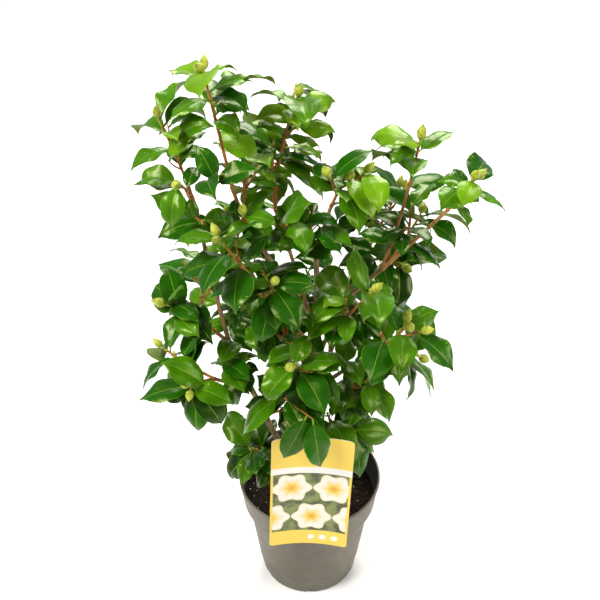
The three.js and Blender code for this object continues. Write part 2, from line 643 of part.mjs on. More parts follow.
function labelSolid() {
  const card = new THREE.ExtrudeGeometry(labelSection(), { depth: LABEL.height, bevelEnabled: false });
  const outline = new THREE.Shape();
  const [halfWidth, corner] = [LABEL.width / 2 + 1, LABEL.corner];
  outline.moveTo(-halfWidth + corner, 0).lineTo(halfWidth - corner, 0);
  outline.quadraticCurveTo(halfWidth, 0, halfWidth, corner).lineTo(halfWidth, LABEL.height - corner);
  outline.quadraticCurveTo(halfWidth, LABEL.height, halfWidth - corner, LABEL.height);
  outline.lineTo(-halfWidth + corner, LABEL.height);
  outline.quadraticCurveTo(-halfWidth, LABEL.height, -halfWidth, LABEL.height - corner);
  outline.lineTo(-halfWidth, corner).quadraticCurveTo(-halfWidth, 0, -halfWidth + corner, 0);
  const cutter = new THREE.ExtrudeGeometry(outline, { depth: 40, bevelEnabled: false, curveSegments: 3 });
  cutter.rotateX(Math.PI / 2).translate(0, -POT.rimRadius + 20, 0);
  const middle = LABEL.height / 2;
  const face = solidOf(card).intersect(solidOf(cutter)).translate([0, 0, -middle]);
  return face.rotate([0, LABEL.lean, 0]).translate([0, 0, LABEL.bottom + middle]).add(tongueSolid(0));
}

function soilSolid() {
  const inset = POT.wall + SOIL.gap;
  const bodyTop = POT.height - POT.collarHeight;
  const collarTaper = (POT.rimRadius - POT.collarFootRadius) / POT.collarHeight;
  const edgeRadius = POT.collarFootRadius + collarTaper * (SOIL.edgeHeight - bodyTop) - inset - 0.4;
  const profile = [
    [0, POT.floor + SOIL.gap],
    [POT.baseRadius - inset, POT.floor + SOIL.gap],
    [POT.bodyTopRadius - inset - 0.4, bodyTop],
    [edgeRadius, SOIL.edgeHeight],
    [edgeRadius * 0.72, SOIL.edgeHeight + 3.4],
    [edgeRadius * 0.34, SOIL.crownHeight],
    [0, SOIL.crownHeight],
  ];
  return turned(profile, POT.sides).subtract(tongueSolid(GAP));
}

// ---- Assembly -------------------------------------------------------------------------------------------

const COLOURS = {
  pot: [0x7f7769, 0.55],
  soil: [0x2a1a12, 0.95],
  label: [0xf6dd6a, 0.4],
  bark: [0x8a6a4d, 0.85],
  foliage: [0x2f6b1f, 0.35],
};
const FINISHES = Object.fromEntries(
  Object.entries(COLOURS).map(([name, [color, roughness]]) => [
    name,
    new THREE.MeshStandardMaterial({ name, color, roughness, metalness: 0 }),
  ]),
);

const camellia = new THREE.Group();
function addNode(name, solid, finish) {
  const mesh = new THREE.Mesh(geometryOf(solid), FINISHES[finish]);
  mesh.name = name;
  camellia.add(mesh);
}

addNode("pot", potSolid(), "pot");
addNode("soil", soilSolid(), "soil");
addNode("plant_label", labelSolid(), "label");

// Each limb is cut clear of those before it, so that it starts a hair off the one that bears it.
const roomForLimbs = [];
for (const limb of LIMBS) {
  const isTrunk = limb.name === "trunk";
  const shape = limb.foot ? { spans: 6, flare: TRUNK.flare, flareHeight: TRUNK.flareHeight } : {};
  const sides = isTrunk ? TRUNK.sides : LIMB_SIDES;
  const route = ROUTES.get(limb.name);
  let solid = limbSolid(route, limb.radii, sides, shape);
  if (roomForLimbs.length) solid = largestPiece(solid.subtract(wasm.Manifold.union(roomForLimbs)));
  addNode(limb.name, solid, "bark");
  roomForLimbs.push(limbSolid(route, limb.radii, sides, { ...shape, swell: GAP }));
}

// Each mass is cut clear of the limbs, and of the stems of the masses before it at a fork that they share.
const limbRoom = wasm.Manifold.union(roomForLimbs);
const stemRoom = [];
MASSES.forEach((mass, i) => {
  const room = wasm.Manifold.union([limbRoom, ...stemRoom]);
  const solid = spraySolid(sprayOf(i)).subtract(room).simplify(SPRAY.smoothing);
  addNode(mass.name, largestPiece(solid), "foliage");
  const shape = { spans: SPRAY.stemSpans, swell: GAP };
  stemRoom.push(limbSolid(STEMS[i], [SPRAY.stemRadius, SPRAY.tipRadius], TWIG_SIDES, shape));
});

export default camellia;
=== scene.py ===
"""A camellia shrub in its nursery pot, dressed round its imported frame.

Sizes are written in millimetres, in the frame's own axes: +Z up, the label's side faces -Y, and the origin
lies under the middle of the pot. The crown repeats the growth rule that shaped the frame's foliage, so that
each leaf, twig and bud stands where its solid does, and then carries the rule on to finer shoots and leaves.
"""

import logging
import math
from dataclasses import dataclass, field, replace
from enum import Enum, IntEnum
from typing import Any, Sequence

import bpy
import numpy as np
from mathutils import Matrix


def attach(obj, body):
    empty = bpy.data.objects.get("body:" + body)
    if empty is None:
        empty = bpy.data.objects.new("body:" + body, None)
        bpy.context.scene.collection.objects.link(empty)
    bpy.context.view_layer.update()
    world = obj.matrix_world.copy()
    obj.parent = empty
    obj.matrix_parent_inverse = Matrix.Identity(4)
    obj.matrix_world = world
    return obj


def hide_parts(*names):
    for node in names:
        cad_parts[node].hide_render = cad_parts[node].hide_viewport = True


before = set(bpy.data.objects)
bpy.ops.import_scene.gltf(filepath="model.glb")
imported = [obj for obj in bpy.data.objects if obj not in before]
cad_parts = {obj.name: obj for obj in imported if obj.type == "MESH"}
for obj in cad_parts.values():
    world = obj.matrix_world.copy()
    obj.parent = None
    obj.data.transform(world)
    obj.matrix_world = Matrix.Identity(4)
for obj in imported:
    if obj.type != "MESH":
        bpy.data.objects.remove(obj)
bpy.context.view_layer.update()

LOG = logging.getLogger("camellia")
Array = np.ndarray
Rods = tuple[Array, Array, Array]  # the starts, ends and radii of short straight rods
Pair = tuple[float, float]
Triple = tuple[float, float, float]
Colour = tuple[float, float, float, float]
Material = bpy.types.Material
Socket = bpy.types.NodeSocket

MM = 0.001  # metres in a millimetre
UP = np.array([0.0, 0.0, 1.0])
LEVEL = np.eye(3)[:2]
GOLDEN_ANGLE = math.radians(137.5)
# The traits of a leaf with little fold, cup or wave, no twist and a straight tip.
FLAT_TRAITS = (0.0, 0.0, 0.5, 0.0, 0.5, 0.0)


# ---- Vectors, chance and noise ----


def unit(vectors: Array) -> Array:
    """Vectors divided by their own lengths."""
    return vectors / np.linalg.norm(vectors, axis=-1, keepdims=True)


def blend(low: Any, high: Any, share: Any) -> Any:
    """The value that lies `share` of the way from low to high."""
    return low + (high - low) * share


def smooth_step(values: Array, start: float, end: float) -> Array:
    """0 before start, 1 after end, and 3t^2 - 2t^3 between them."""
    share = np.clip((values - start) / (end - start), 0.0, 1.0)
    return share * share * (3.0 - 2.0 * share)


def place(azimuth: float, reach: float, height: float) -> Array:
    """A point by its direction round the pot's axis (0 right, 90 back), its reach and its height."""
    turn = math.radians(azimuth)
    return np.array([reach * math.cos(turn), reach * math.sin(turn), height])


def cross_axes(axis: Array, reference: Array | None = None) -> tuple[Array, Array]:
    """Two directions square to an axis.

    Args:
        axis: A unit vector.
        reference: What the first direction leans to, or None for the level axis that `axis` crosses more.

    Returns:
        The first direction, and the axis crossed with it.
    """
    if reference is None:
        reference = LEVEL[0] if abs(axis[0]) < abs(axis[1]) else LEVEL[1]
    first = unit(reference - axis * (reference @ axis))
    return first, np.cross(axis, first)


def angles_round(sides: int) -> Array:
    """The directions of evenly spaced points round a ring."""
    return 2 * np.pi * np.arange(sides) / sides


def outward_from(axis: Array, around: float) -> Array:
    """The direction square to an axis at an angle round it."""
    first, second = cross_axes(axis)
    return first * math.cos(around) + second * math.sin(around)


def scramble(mix: Any) -> Any:
    """Spreads whole numbers over 32 bits: two rounds of shift, exclusive or and multiply.

    Args:
        mix: A whole number, or an array of them.

    Returns:
        The number or numbers, spread.
    """
    mask = 0xFFFFFFFF
    mix = ((mix ^ (mix >> 15)) * 0x2C1B3C6D) & mask
    mix = ((mix ^ (mix >> 12)) * 0x297A2D39) & mask
    return mix ^ (mix >> 15)


def chance(seed: int, shoot: int, leaf: int, trait: int) -> float:
    """A chance from 0 to 1 fixed by a mass's seed and the numbers of a shoot, a leaf and a trait.

    Args:
        seed: The mass's seed.
        shoot: The shoot's number.
        leaf: The leaf's number, or a Draw.
        trait: Which of its chances.

    Returns:
        The chance.
    """
    mask = 0xFFFFFFFF
    mix = ((seed + 1) * 0x9E3779B1 & mask) ^ ((shoot + 1) * 0x85EBCA6B & mask)
    mix ^= ((leaf + 1) * 0xC2B2AE35 & mask) ^ ((trait + 1) * 0x27D4EB2F & mask)
    return scramble(mix) / 2**32


class Draw(IntEnum):
    """What a chance with no leaf of its own is for, kept apart from the leaves' numbers."""

    TWIG_LENGTH = 93
    HAS_BUD = 94
    BUD_SIZE = 95
    BUD_TURN = 96
    TURN = 97
    TWIG_SHARE = 98
    AZIMUTH = 99


def noise(points: Array, seed: int = 0) -> Array:
    """Smooth noise from -1 to 1 at points in cells.

    Each whole-number corner has a hashed value, and a point takes the mean of its cell's eight corners, each
    weighted along every axis by 3t^2 - 2t^3 of the way across the cell.

    Args:
        points: Where the noise is taken.
        seed: Which noise it is.

    Returns:
        A value for each point.
    """
    cell = np.floor(points).astype(np.int64)
    share = points - cell
    share = share * share * (3.0 - 2.0 * share)
    total = np.zeros(points.shape[:-1])
    for corner in np.ndindex(2, 2, 2):
        at = (cell + corner + 4096).astype(np.uint64)
        mix = at[..., 0] * 73856093 ^ at[..., 1] * 19349663 ^ at[..., 2] * 83492791
        mixed = scramble(mix + seed & 0xFFFFFFFF)
        weight = np.prod(np.where(corner, share, 1.0 - share), axis=-1)
        total += weight * (mixed / 2.0**31 - 1.0)
    return total


# ---- Shapes ----


@dataclass
class Shape:
    """A mesh as whole arrays.

    Attributes:
        vertices: Points in millimetres.
        faces: Groups of faces, each an array of corner numbers with as many columns as its faces have corners.
        finishes: For each group, the number of each face's finish.
    """

    vertices: Array
    faces: list[Array]
    finishes: list[Array]

    @staticmethod
    def joined(shapes: Sequence["Shape"]) -> "Shape":
        """Several shapes as one, each one's corner numbers shifted past those before it.

        Args:
            shapes: The shapes.

        Returns:
            One shape.
        """
        starts = np.cumsum([0] + [len(shape.vertices) for shape in shapes])
        faces = [group + start for shape, start in zip(shapes, starts) for group in shape.faces]
        finishes = [group for shape in shapes for group in shape.finishes]
        return Shape(np.concatenate([shape.vertices for shape in shapes]), faces, finishes)


def ring_faces(rings: int, sides: int, inward: bool = False) -> Array:
    """The quads between rings of corners that close on themselves, wound to face out from rings that turn left.

    Args:
        rings: How many rings there are.
        sides: How many corners each one has.
        inward: True to wind the quads the other way.

    Returns:
        Four corner numbers for each quad.
    """
    ring, side = np.meshgrid(np.arange(rings - 1), np.arange(sides), indexing="ij")
    here, there = ring * sides, (ring + 1) * sides
    following = (side + 1) % sides
    quads = np.stack([here + side, here + following, there + following, there + side], axis=-1).reshape(-1, 4)
    return quads[:, ::-1] if inward else quads


def tube_shape(rings: Array, finish: Array | int = 0, inward: bool = False) -> Shape:
    """A closed tube over rings of points.

    Args:
        rings: Points, as rings x sides x 3.
        finish: One finish, or one for each quad as (rings - 1) x sides.
        inward: True where the rings turn right as seen along the tube.

    Returns:
        The tube, with a flat cap on each end.
    """
    count, sides = rings.shape[:2]
    quads = ring_faces(count, sides, inward)
    last = (count - 1) * sides + np.arange(sides)
    caps = np.stack([np.arange(sides)[::-1], last])
    if inward:
        caps = caps[:, ::-1]
    wall = np.broadcast_to(finish, (count - 1, sides)).reshape(-1)
    return Shape(rings.reshape(-1, 3), [quads, caps], [wall, np.array([wall[0], wall[-1]])])


def turned_shape(profile: Array, sides: int, finish: Array | int = 0) -> Shape:
    """A solid of revolution about Z whose profile starts and ends on the axis.

    A point of the surface is (r cos a, r sin a, z) for each profile point (r, z) and each angle a.

    Args:
        profile: Points as (radius, height), from the middle of the underside outwards.
        sides: How many steps go round.
        finish: One finish, or one for each step of the profile.

    Returns:
        The solid, with one vertex at each pole.
    """
    angles = angles_round(sides)
    radius, height = profile[1:-1, 0, None], profile[1:-1, 1, None]
    rings = np.stack([radius * np.cos(angles), radius * np.sin(angles), height + 0 * angles], axis=-1)
    count = len(rings)
    poles = np.array([[0, 0, profile[0, 1]], [0, 0, profile[-1, 1]]], float)
    vertices = np.concatenate([rings.reshape(-1, 3), poles])
    side = np.arange(sides)
    following = (side + 1) % sides
    first_pole, last_pole = np.full(sides, count * sides), np.full(sides, count * sides + 1)
    last_ring = (count - 1) * sides
    fans = np.concatenate(
        [
            np.stack([first_pole, following, side], axis=-1),
            np.stack([last_ring + side, last_ring + following, last_pole], axis=-1),
        ]
    )
    steps = np.broadcast_to(finish, (count + 1,))
    fan_finish = np.concatenate([np.full(sides, steps[0]), np.full(sides, steps[-1])])
    return Shape(vertices, [ring_faces(count, sides), fans], [np.repeat(steps[1:-1], sides), fan_finish])


def swept_rings(path: Array, headings: Array, radii: Array, sides: int) -> Array:
    """Rings of points round a path, as rings x sides x 3.

    A point is centre + radius (first cos a + second sin a), where first and second are square to the heading.

    Args:
        path: The centres, as rings x 3.
        headings: A unit vector along the path at each centre.
        radii: The radius of each ring, or of each point as rings x sides.
        sides: How many points a ring has.

    Returns:
        The points.
    """
    reference = cross_axes(unit(path[-1] - path[0]))[0]
    first = unit(reference - headings * (headings @ reference)[:, None])
    second = np.cross(headings, first)
    angles = angles_round(sides)
    radii = np.broadcast_to(radii if radii.ndim == 2 else radii[:, None], (len(path), sides))
    spokes = first[:, None] * np.cos(angles)[None, :, None] + second[:, None] * np.sin(angles)[None, :, None]
    return path[:, None] + spokes * radii[..., None]


def placed(name: str, data: bpy.types.ID) -> bpy.types.Object:
    """A new object in the scene with that mesh, light or camera."""
    thing = bpy.data.objects.new(name, data)
    bpy.context.scene.collection.objects.link(thing)
    return thing


def add_piece(
    name: str,
    shape: Shape,
    materials: Sequence[Material],
    replaced: Sequence[str] = (),
    sharp_columns: tuple[int, Sequence[int]] | None = None,
    uv: Array | None = None,
) -> bpy.types.Object:
    """Puts a shape into the scene as one piece that rides on the plant's body.

    Args:
        name: The piece's name.
        shape: Its mesh.
        materials: Its finishes, in the order that the shape numbers them.
        replaced: The frame's nodes that it stands for.
        sharp_columns: How many corners a ring has, and which of them run along creases, or None.
        uv: A place on the print for each vertex, or None.

    Returns:
        The piece's object.
    """
    mesh = bpy.data.meshes.new(name)
    faces = [face for group in shape.faces for face in group.tolist()]
    mesh.from_pydata((shape.vertices * MM).tolist(), [], faces)
    mesh.polygons.foreach_set("material_index", np.concatenate(shape.finishes).astype(np.int32))
    mesh.polygons.foreach_set("use_smooth", np.ones(len(faces), bool))
    if sharp_columns is not None:
        ring, creases = sharp_columns
        ends = np.empty(len(mesh.edges) * 2, np.int32)
        mesh.edges.foreach_get("vertices", ends)
        column = ends.reshape(-1, 2) % ring
        along = (column[:, 0] == column[:, 1]) & np.isin(column[:, 0], creases)
        mesh.edges.foreach_set("use_edge_sharp", along)
    if uv is not None:
        corners = np.empty(len(mesh.loops), np.int32)
        mesh.loops.foreach_get("vertex_index", corners)
        mesh.uv_layers.new(name="print").data.foreach_set("uv", uv[corners].astype(np.float32).reshape(-1))
    mesh.update()
    piece = placed(name, mesh)
    for material in materials:
        mesh.materials.append(material)
    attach(piece, "root")
    if replaced:
        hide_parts(*replaced)
    triangles = sum(len(group) * (group.shape[1] - 2) for group in shape.faces)
    LOG.info("%s: %d triangles", name, triangles)
    return piece


# ---- Finishes ----


def srgb(red: int, green: int, blue: int) -> Colour:
    """A screen colour from 0 to 255 as linear light: ((c + 0.055) / 1.055)^2.4 above its short straight foot.

    Args:
        red: Its red.
        green: Its green.
        blue: Its blue.

    Returns:
        The opaque linear colour.
    """
    linear = []
    for value in (red, green, blue):
        share = value / 255
        linear.append(share / 12.92 if share <= 0.04045 else ((share + 0.055) / 1.055) ** 2.4)
    return (*linear, 1.0)


def toned(colour: Colour, factor: float, lift: float = 0.0) -> Colour:
    """A colour made deeper or paler."""
    return tuple(min(1.0, channel * factor + lift) for channel in colour[:3]) + (1.0,)


class Shader:
    """One procedural material in the making, patterned in the object's own space."""

    def __init__(self, name: str) -> None:
        """Starts a material with a principled surface."""
        self.material = bpy.data.materials.new(name)
        self.material.use_nodes = True
        self.tree = self.material.node_tree
        self.surface = self.tree.nodes["Principled BSDF"]
        self.places = self.add("ShaderNodeTexCoord")

    def add(self, kind: str, **settings: Any) -> bpy.types.Node:
        """A new node with its settings."""
        node = self.tree.nodes.new(kind)
        for name, value in settings.items():
            setattr(node, name, value)
        return node

    def feed(self, socket: Socket, value: Any) -> None:
        """Sets a socket to a number or a colour, or links another socket to it."""
        if isinstance(value, Socket):
            self.tree.links.new(value, socket)
        else:
            socket.default_value = value

    def put(self, node: bpy.types.Node, **values: Any) -> bpy.types.Node:
        """Fills a node's sockets, by name with _ for a space, with numbers or with other sockets."""
        for name, value in values.items():
            self.feed(node.inputs[name.replace("_", " ")], value)
        return node

    def fix(self, **values: Any) -> None:
        """Sets what is the same all over the surface on the shader's own sockets."""
        self.put(self.surface, **values)

    def space(self, stretch: Triple) -> Socket:
        """The object's coordinates, scaled along each axis."""
        mapping = self.put(self.add("ShaderNodeMapping"), Vector=self.places.outputs["Object"], Scale=stretch)
        return mapping.outputs["Vector"]

    def grain(self, per_metre: float, detail: float = 3.0, stretch: Triple = (1, 1, 1)) -> Socket:
        """Noise from 0 to 1 with so many blotches to a metre.

        Args:
            per_metre: How many blotches.
            detail: How many finer layers lie on them.
            stretch: The scale along each axis.

        Returns:
            The noise.
        """
        node = self.add("ShaderNodeTexNoise")
        self.put(node, Vector=self.space(stretch), Scale=per_metre, Detail=detail, Roughness=0.6)
        return node.outputs[0]

    def cells(self, per_metre: float) -> Socket:
        """The distance to the nearest of scattered points, so many to a metre."""
        node = self.put(self.add("ShaderNodeTexVoronoi"), Vector=self.space((1, 1, 1)), Scale=per_metre)
        return node.outputs["Distance"]

    def ranged(self, factor: Socket, low: float, high: float) -> Socket:
        """A factor between 0.3 and 0.7 spread over low to high."""
        node = self.add("ShaderNodeMapRange")
        self.put(node, Value=factor, From_Min=0.3, From_Max=0.7, To_Min=low, To_Max=high)
        return node.outputs["Result"]

    def ramp(self, factor: Socket, stops: Sequence[tuple[float, Any]]) -> Socket:
        """A colour that runs through the stops as the factor rises.

        Args:
            factor: What the colour follows.
            stops: Places along the factor and the colours there.

        Returns:
            The colour.
        """
        node = self.put(self.add("ShaderNodeValToRGB"), Fac=factor)
        elements = node.color_ramp.elements
        for _ in range(len(stops) - 2):
            elements.new(0.5)
        for element, (position, colour) in zip(elements, stops):
            element.position = position
            element.color = colour
        return node.outputs["Color"]

    def mixed(self, factor: Any, first: Any, second: Any) -> Socket:
        """One colour or another by a factor."""
        node = self.add("ShaderNodeMix", data_type="RGBA")
        for number, value in ((0, factor), (6, first), (7, second)):
            self.feed(node.inputs[number], value)
        return node.outputs[2]

    def calculate(self, operation: str, *values: Any) -> Socket:
        """One step of arithmetic on numbers or sockets."""
        node = self.add("ShaderNodeMath", operation=operation)
        for socket, value in zip(node.inputs, values):
            self.feed(socket, value)
        return node.outputs[0]

    def relief(self, height: Socket, depth: float, strength: float = 1.0) -> None:
        """Raises the surface by a height map of that depth in millimetres, over any relief that it has.

        Args:
            height: The height map.
            depth: How deep it is.
            strength: How much of it shows.
        """
        node = self.put(self.add("ShaderNodeBump"), Height=height, Distance=depth * MM, Strength=strength)
        normal = self.surface.inputs["Normal"]
        if normal.is_linked:
            self.tree.links.new(normal.links[0].from_socket, node.inputs["Normal"])
        self.tree.links.new(node.outputs["Normal"], normal)


@dataclass(frozen=True)
class PotPlastic:
    """Thin moulded plastic, matt, with faint flow marks, water spots and scuffs."""

    name: str
    colour: Colour
    shade: Colour
    roughness: float = 0.5

    def material(self) -> Material:
        """The node material."""
        shader = Shader(self.name)
        mottle = shader.grain(22, 5, (1, 1, 0.35))
        base = shader.ramp(mottle, [(0.3, self.shade), (0.62, self.colour)])
        dust = shader.ramp(shader.grain(240, 6), [(0.62, (0, 0, 0, 1)), (0.72, (1, 1, 1, 1))])
        pale = toned(self.colour, 1.18, 0.02)
        shader.fix(Base_Color=shader.mixed(shader.calculate("MULTIPLY", dust, 0.3), base, pale))
        shader.fix(Roughness=shader.ranged(shader.grain(60, 4), self.roughness - 0.07, self.roughness + 0.09))
        shader.fix(Specular_IOR_Level=0.45)
        shader.relief(shader.grain(1500, 2), 0.05, 0.5)
        shader.relief(shader.grain(45, 2, (1, 1, 0.2)), 0.35, 0.4)
        return shader.material


@dataclass(frozen=True)
class PottingSoil:
    """Dark peat with reddish crumbs."""

    name: str = "potting_soil"

    def material(self) -> Material:
        """The node material."""
        shader = Shader(self.name)
        crumbs = shader.grain(330, 8)
        dark = [(0.36, srgb(9, 7, 5)), (0.5, srgb(24, 18, 12))]
        light = [(0.62, srgb(50, 36, 23)), (0.74, srgb(92, 68, 42))]
        damp = shader.grain(40, 3)
        colour = shader.mixed(shader.ranged(damp, 0.0, 0.6), shader.ramp(crumbs, dark + light), srgb(18, 12, 9))
        shader.fix(Base_Color=colour, Roughness=0.93, Specular_IOR_Level=0.25)
        shader.relief(crumbs, 2.2)
        shader.relief(shader.cells(420), 1.0, 0.7)
        return shader.material


@dataclass(frozen=True)
class Crumb:
    """Loose matter in the soil: fibre, wood chip or perlite."""

    name: str
    low: Colour
    high: Colour

    def material(self) -> Material:
        """The node material."""
        shader = Shader(self.name)
        shader.fix(Base_Color=shader.ramp(shader.grain(180, 4), [(0.35, self.low), (0.65, self.high)]))
        shader.fix(Roughness=0.9, Specular_IOR_Level=0.25)
        shader.relief(shader.grain(900, 4), 0.3, 0.7)
        return shader.material


@dataclass(frozen=True)
class Bark:
    """The skin of a limb, from grey-brown fissured bark to the smooth red-brown of a young twig."""

    name: str
    dark: Colour
    body: Colour
    pale: Colour
    depth: float  # of its cracks, in millimetres
    roughness: float = 0.75

    def material(self) -> Material:
        """The node material."""
        shader = Shader(self.name)
        streaks = shader.grain(300, 6, (1, 1, 0.22))
        patches = shader.grain(55, 4, (1, 1, 0.6))
        grain = shader.ramp(streaks, [(0.34, self.dark), (0.52, self.body), (0.7, self.pale)])
        shader.fix(Base_Color=shader.mixed(shader.ranged(patches, 0.0, 0.55), grain, self.pale))
        shader.fix(Roughness=shader.ranged(streaks, self.roughness + 0.1, self.roughness - 0.1))
        shader.fix(Specular_IOR_Level=0.2)
        shader.relief(streaks, self.depth)
        shader.relief(shader.cells(520), self.depth * 0.5, 0.5)
        return shader.material


@dataclass(frozen=True)
class LeafSkin:
    """One skin of a leaf: waxy on its face, dull underneath, plain in colour but for a slow drift of tone."""

    name: str
    colour: Colour
    roughness: float
    wax: float = 0.0

    def material(self) -> Material:
        """The node material."""
        shader = Shader(self.name)
        tones = [(0.36, toned(self.colour, 0.72)), (0.5, self.colour), (0.66, toned(self.colour, 1.22))]
        shader.fix(Base_Color=shader.ramp(shader.grain(26, 2), tones))
        shader.fix(Roughness=self.roughness, Specular_IOR_Level=0.32, Specular_Tint=(0.85, 1.0, 0.1, 1.0))
        shader.fix(Coat_Weight=self.wax, Coat_Roughness=0.22)
        shader.relief(shader.grain(260, 4), 0.6, 0.8)
        shader.relief(shader.grain(90, 2), 0.8, 0.5)
        return shader.material


@dataclass(frozen=True)
class BudScale:
    """The silky scales of a flower bud."""

    name: str
    low: Colour
    high: Colour

    def material(self) -> Material:
        """The node material."""
        shader = Shader(self.name)
        shader.fix(Base_Color=shader.ramp(shader.grain(140, 4), [(0.34, self.low), (0.64, self.high)]))
        shader.fix(Roughness=0.5, Specular_IOR_Level=0.4, Sheen_Weight=0.15)
        shader.relief(shader.grain(800, 3, (1, 1, 0.3)), 0.14, 0.6)
        return shader.material


@dataclass(frozen=True)
class PrintedCard:
    """A glossy printed card: a yellow head, a white strip and a cream field of small blossoms in rows."""

    name: str = "printed_card"
    yellow: Colour = srgb(242, 207, 76)
    white: Colour = srgb(238, 237, 231)
    heart: Colour = srgb(226, 160, 24)
    ruffle: Colour = srgb(238, 204, 84)
    petal: Colour = srgb(232, 222, 190)
    moss: Colour = srgb(58, 72, 36)
    leaf: Colour = srgb(118, 132, 70)
    head: float = 0.74  # where the head, the strip and the foot start, up the card
    strip: float = 0.685
    foot: float = 0.135
    border: float = 0.03
    columns: float = 1.9  # blossoms across the card
    rows: float = 3.64
    shift: float = 0.5  # of the rows up the card, as a share of a row
    squash: float = 0.99  # a cell's height as a share of its width
    petals: float = 6.0
    petal_reach: float = 0.44  # of a blossom, as a share of its cell
    petal_wave: float = 0.05
    frills: float = 17.0
    frill_depth: float = 0.045
    disc_columns: float = 6.6
    disc_rows: float = 12.5
    disc_radius: float = 0.3  # as a share of its cell
    discs_span: Pair = (0.5, 0.92)  # where they start and end, across the card

    def material(self) -> Material:
        """The node material, laid out on the card's own print coordinates."""
        shader = Shader(self.name)
        split = shader.put(shader.add("ShaderNodeSeparateXYZ"), Vector=shader.places.outputs["UV"])
        across, up = split.outputs["X"], split.outputs["Y"]
        field_colour = self.blossoms(shader, across, up)
        framed = shader.mixed(self.outside(shader, across), field_colour, self.yellow)
        framed = shader.mixed(shader.calculate("LESS_THAN", up, self.foot), framed, self.yellow)
        framed = shader.mixed(self.discs(shader, across, up), framed, self.white)
        framed = shader.mixed(shader.calculate("GREATER_THAN", up, self.strip), framed, self.white)
        framed = shader.mixed(shader.calculate("GREATER_THAN", up, self.head), framed, self.yellow)
        wear = shader.calculate("MULTIPLY", shader.grain(60, 5), 0.12)
        shader.fix(Base_Color=shader.mixed(wear, framed, srgb(200, 184, 140)))
        shader.fix(Roughness=shader.ranged(shader.grain(35, 3), 0.3, 0.42), Specular_IOR_Level=0.5)
        shader.relief(shader.grain(16, 1), 0.5, 0.35)
        return shader.material

    def outside(self, shader: Shader, across: Socket) -> Socket:
        """1 in the yellow border along the long edges: where |across - 1/2| > 1/2 - border."""
        offset = shader.calculate("ABSOLUTE", shader.calculate("SUBTRACT", across, 0.5))
        return shader.calculate("GREATER_THAN", offset, 0.5 - self.border)

    def cell(self, shader: Shader, value: Socket, count: float, shift: Any) -> Socket:
        """A value's place in its repeat, from -1/2 to 1/2."""
        scaled = shader.calculate("MULTIPLY_ADD", value, count, shift)
        return shader.calculate("SUBTRACT", shader.calculate("FRACT", scaled), 0.5)

    def squared(self, shader: Shader, x: Socket, y: Socket) -> Socket:
        """x^2 + y^2."""
        return shader.calculate("ADD", shader.calculate("MULTIPLY", x, x), shader.calculate("MULTIPLY", y, y))

    def blossoms(self, shader: Shader, across: Socket, up: Socket) -> Socket:
        """Staggered rows of blossoms: a place is in a petal where r < reach + wave cos(petals a).

        Args:
            shader: The card's shader.
            across: The place across the card.
            up: The place up the card.

        Returns:
            The colour of the field.
        """
        row = shader.calculate("FLOOR", shader.calculate("MULTIPLY_ADD", up, self.rows, self.shift))
        x = self.cell(shader, across, self.columns, shader.calculate("MULTIPLY", row, 0.5))
        y = shader.calculate("MULTIPLY", self.cell(shader, up, self.rows, self.shift), self.squash)
        radius = shader.calculate("SQRT", self.squared(shader, x, y))
        angle = shader.calculate("ARCTAN2", y, x)
        lobes = shader.calculate("COSINE", shader.calculate("MULTIPLY", angle, self.petals))
        frill = shader.calculate("COSINE", shader.calculate("MULTIPLY", angle, self.frills))
        reach = shader.calculate("MULTIPLY_ADD", lobes, self.petal_wave, self.petal_reach)
        share = shader.calculate("DIVIDE", radius, reach)
        ruffled = shader.calculate("MULTIPLY_ADD", frill, self.frill_depth, share)
        stops = zip((0.08, 0.3, 0.52, 0.8, 0.97), (self.heart, self.ruffle, self.petal, self.white, self.petal))
        ground = shader.ramp(shader.grain(60, 3), [(0.42, self.moss), (0.6, self.leaf)])
        in_petal = shader.calculate("LESS_THAN", share, 1.0)
        return shader.mixed(in_petal, ground, shader.ramp(ruffled, list(stops)))

    def discs(self, shader: Shader, across: Socket, up: Socket) -> Socket:
        """1 in each of three plain discs that stand in the right half of the foot.

        Args:
            shader: The card's shader.
            across: The place across the card.
            up: The place up the card.

        Returns:
            The discs as a factor.
        """
        x = self.cell(shader, across, self.disc_columns, 0.0)
        y = shader.calculate("MULTIPLY", shader.calculate("SUBTRACT", up, self.foot / 2), self.disc_rows)
        inside = shader.calculate("LESS_THAN", self.squared(shader, x, y), self.disc_radius**2)
        on_right = shader.calculate("GREATER_THAN", across, self.discs_span[0])
        before_edge = shader.calculate("LESS_THAN", across, self.discs_span[1])
        return shader.calculate("MULTIPLY", inside, shader.calculate("MULTIPLY", on_right, before_edge))


class LeafTint(Enum):
    """The plain colours that leaves come in, from the oldest to the youngest. The first and deepest is painted
    shade, a dark green that stands for leaves in shade.
    """

    # painted shade: a dark leaf green that stands for leaves lying in shade
    DEEP = srgb(8, 52, 2)
    DARK = srgb(24, 84, 2)
    MIDDLE = srgb(62, 114, 4)
    FRESH = srgb(96, 142, 8)
    YOUNG = srgb(112, 152, 10)


# ---- The rule of growth ----


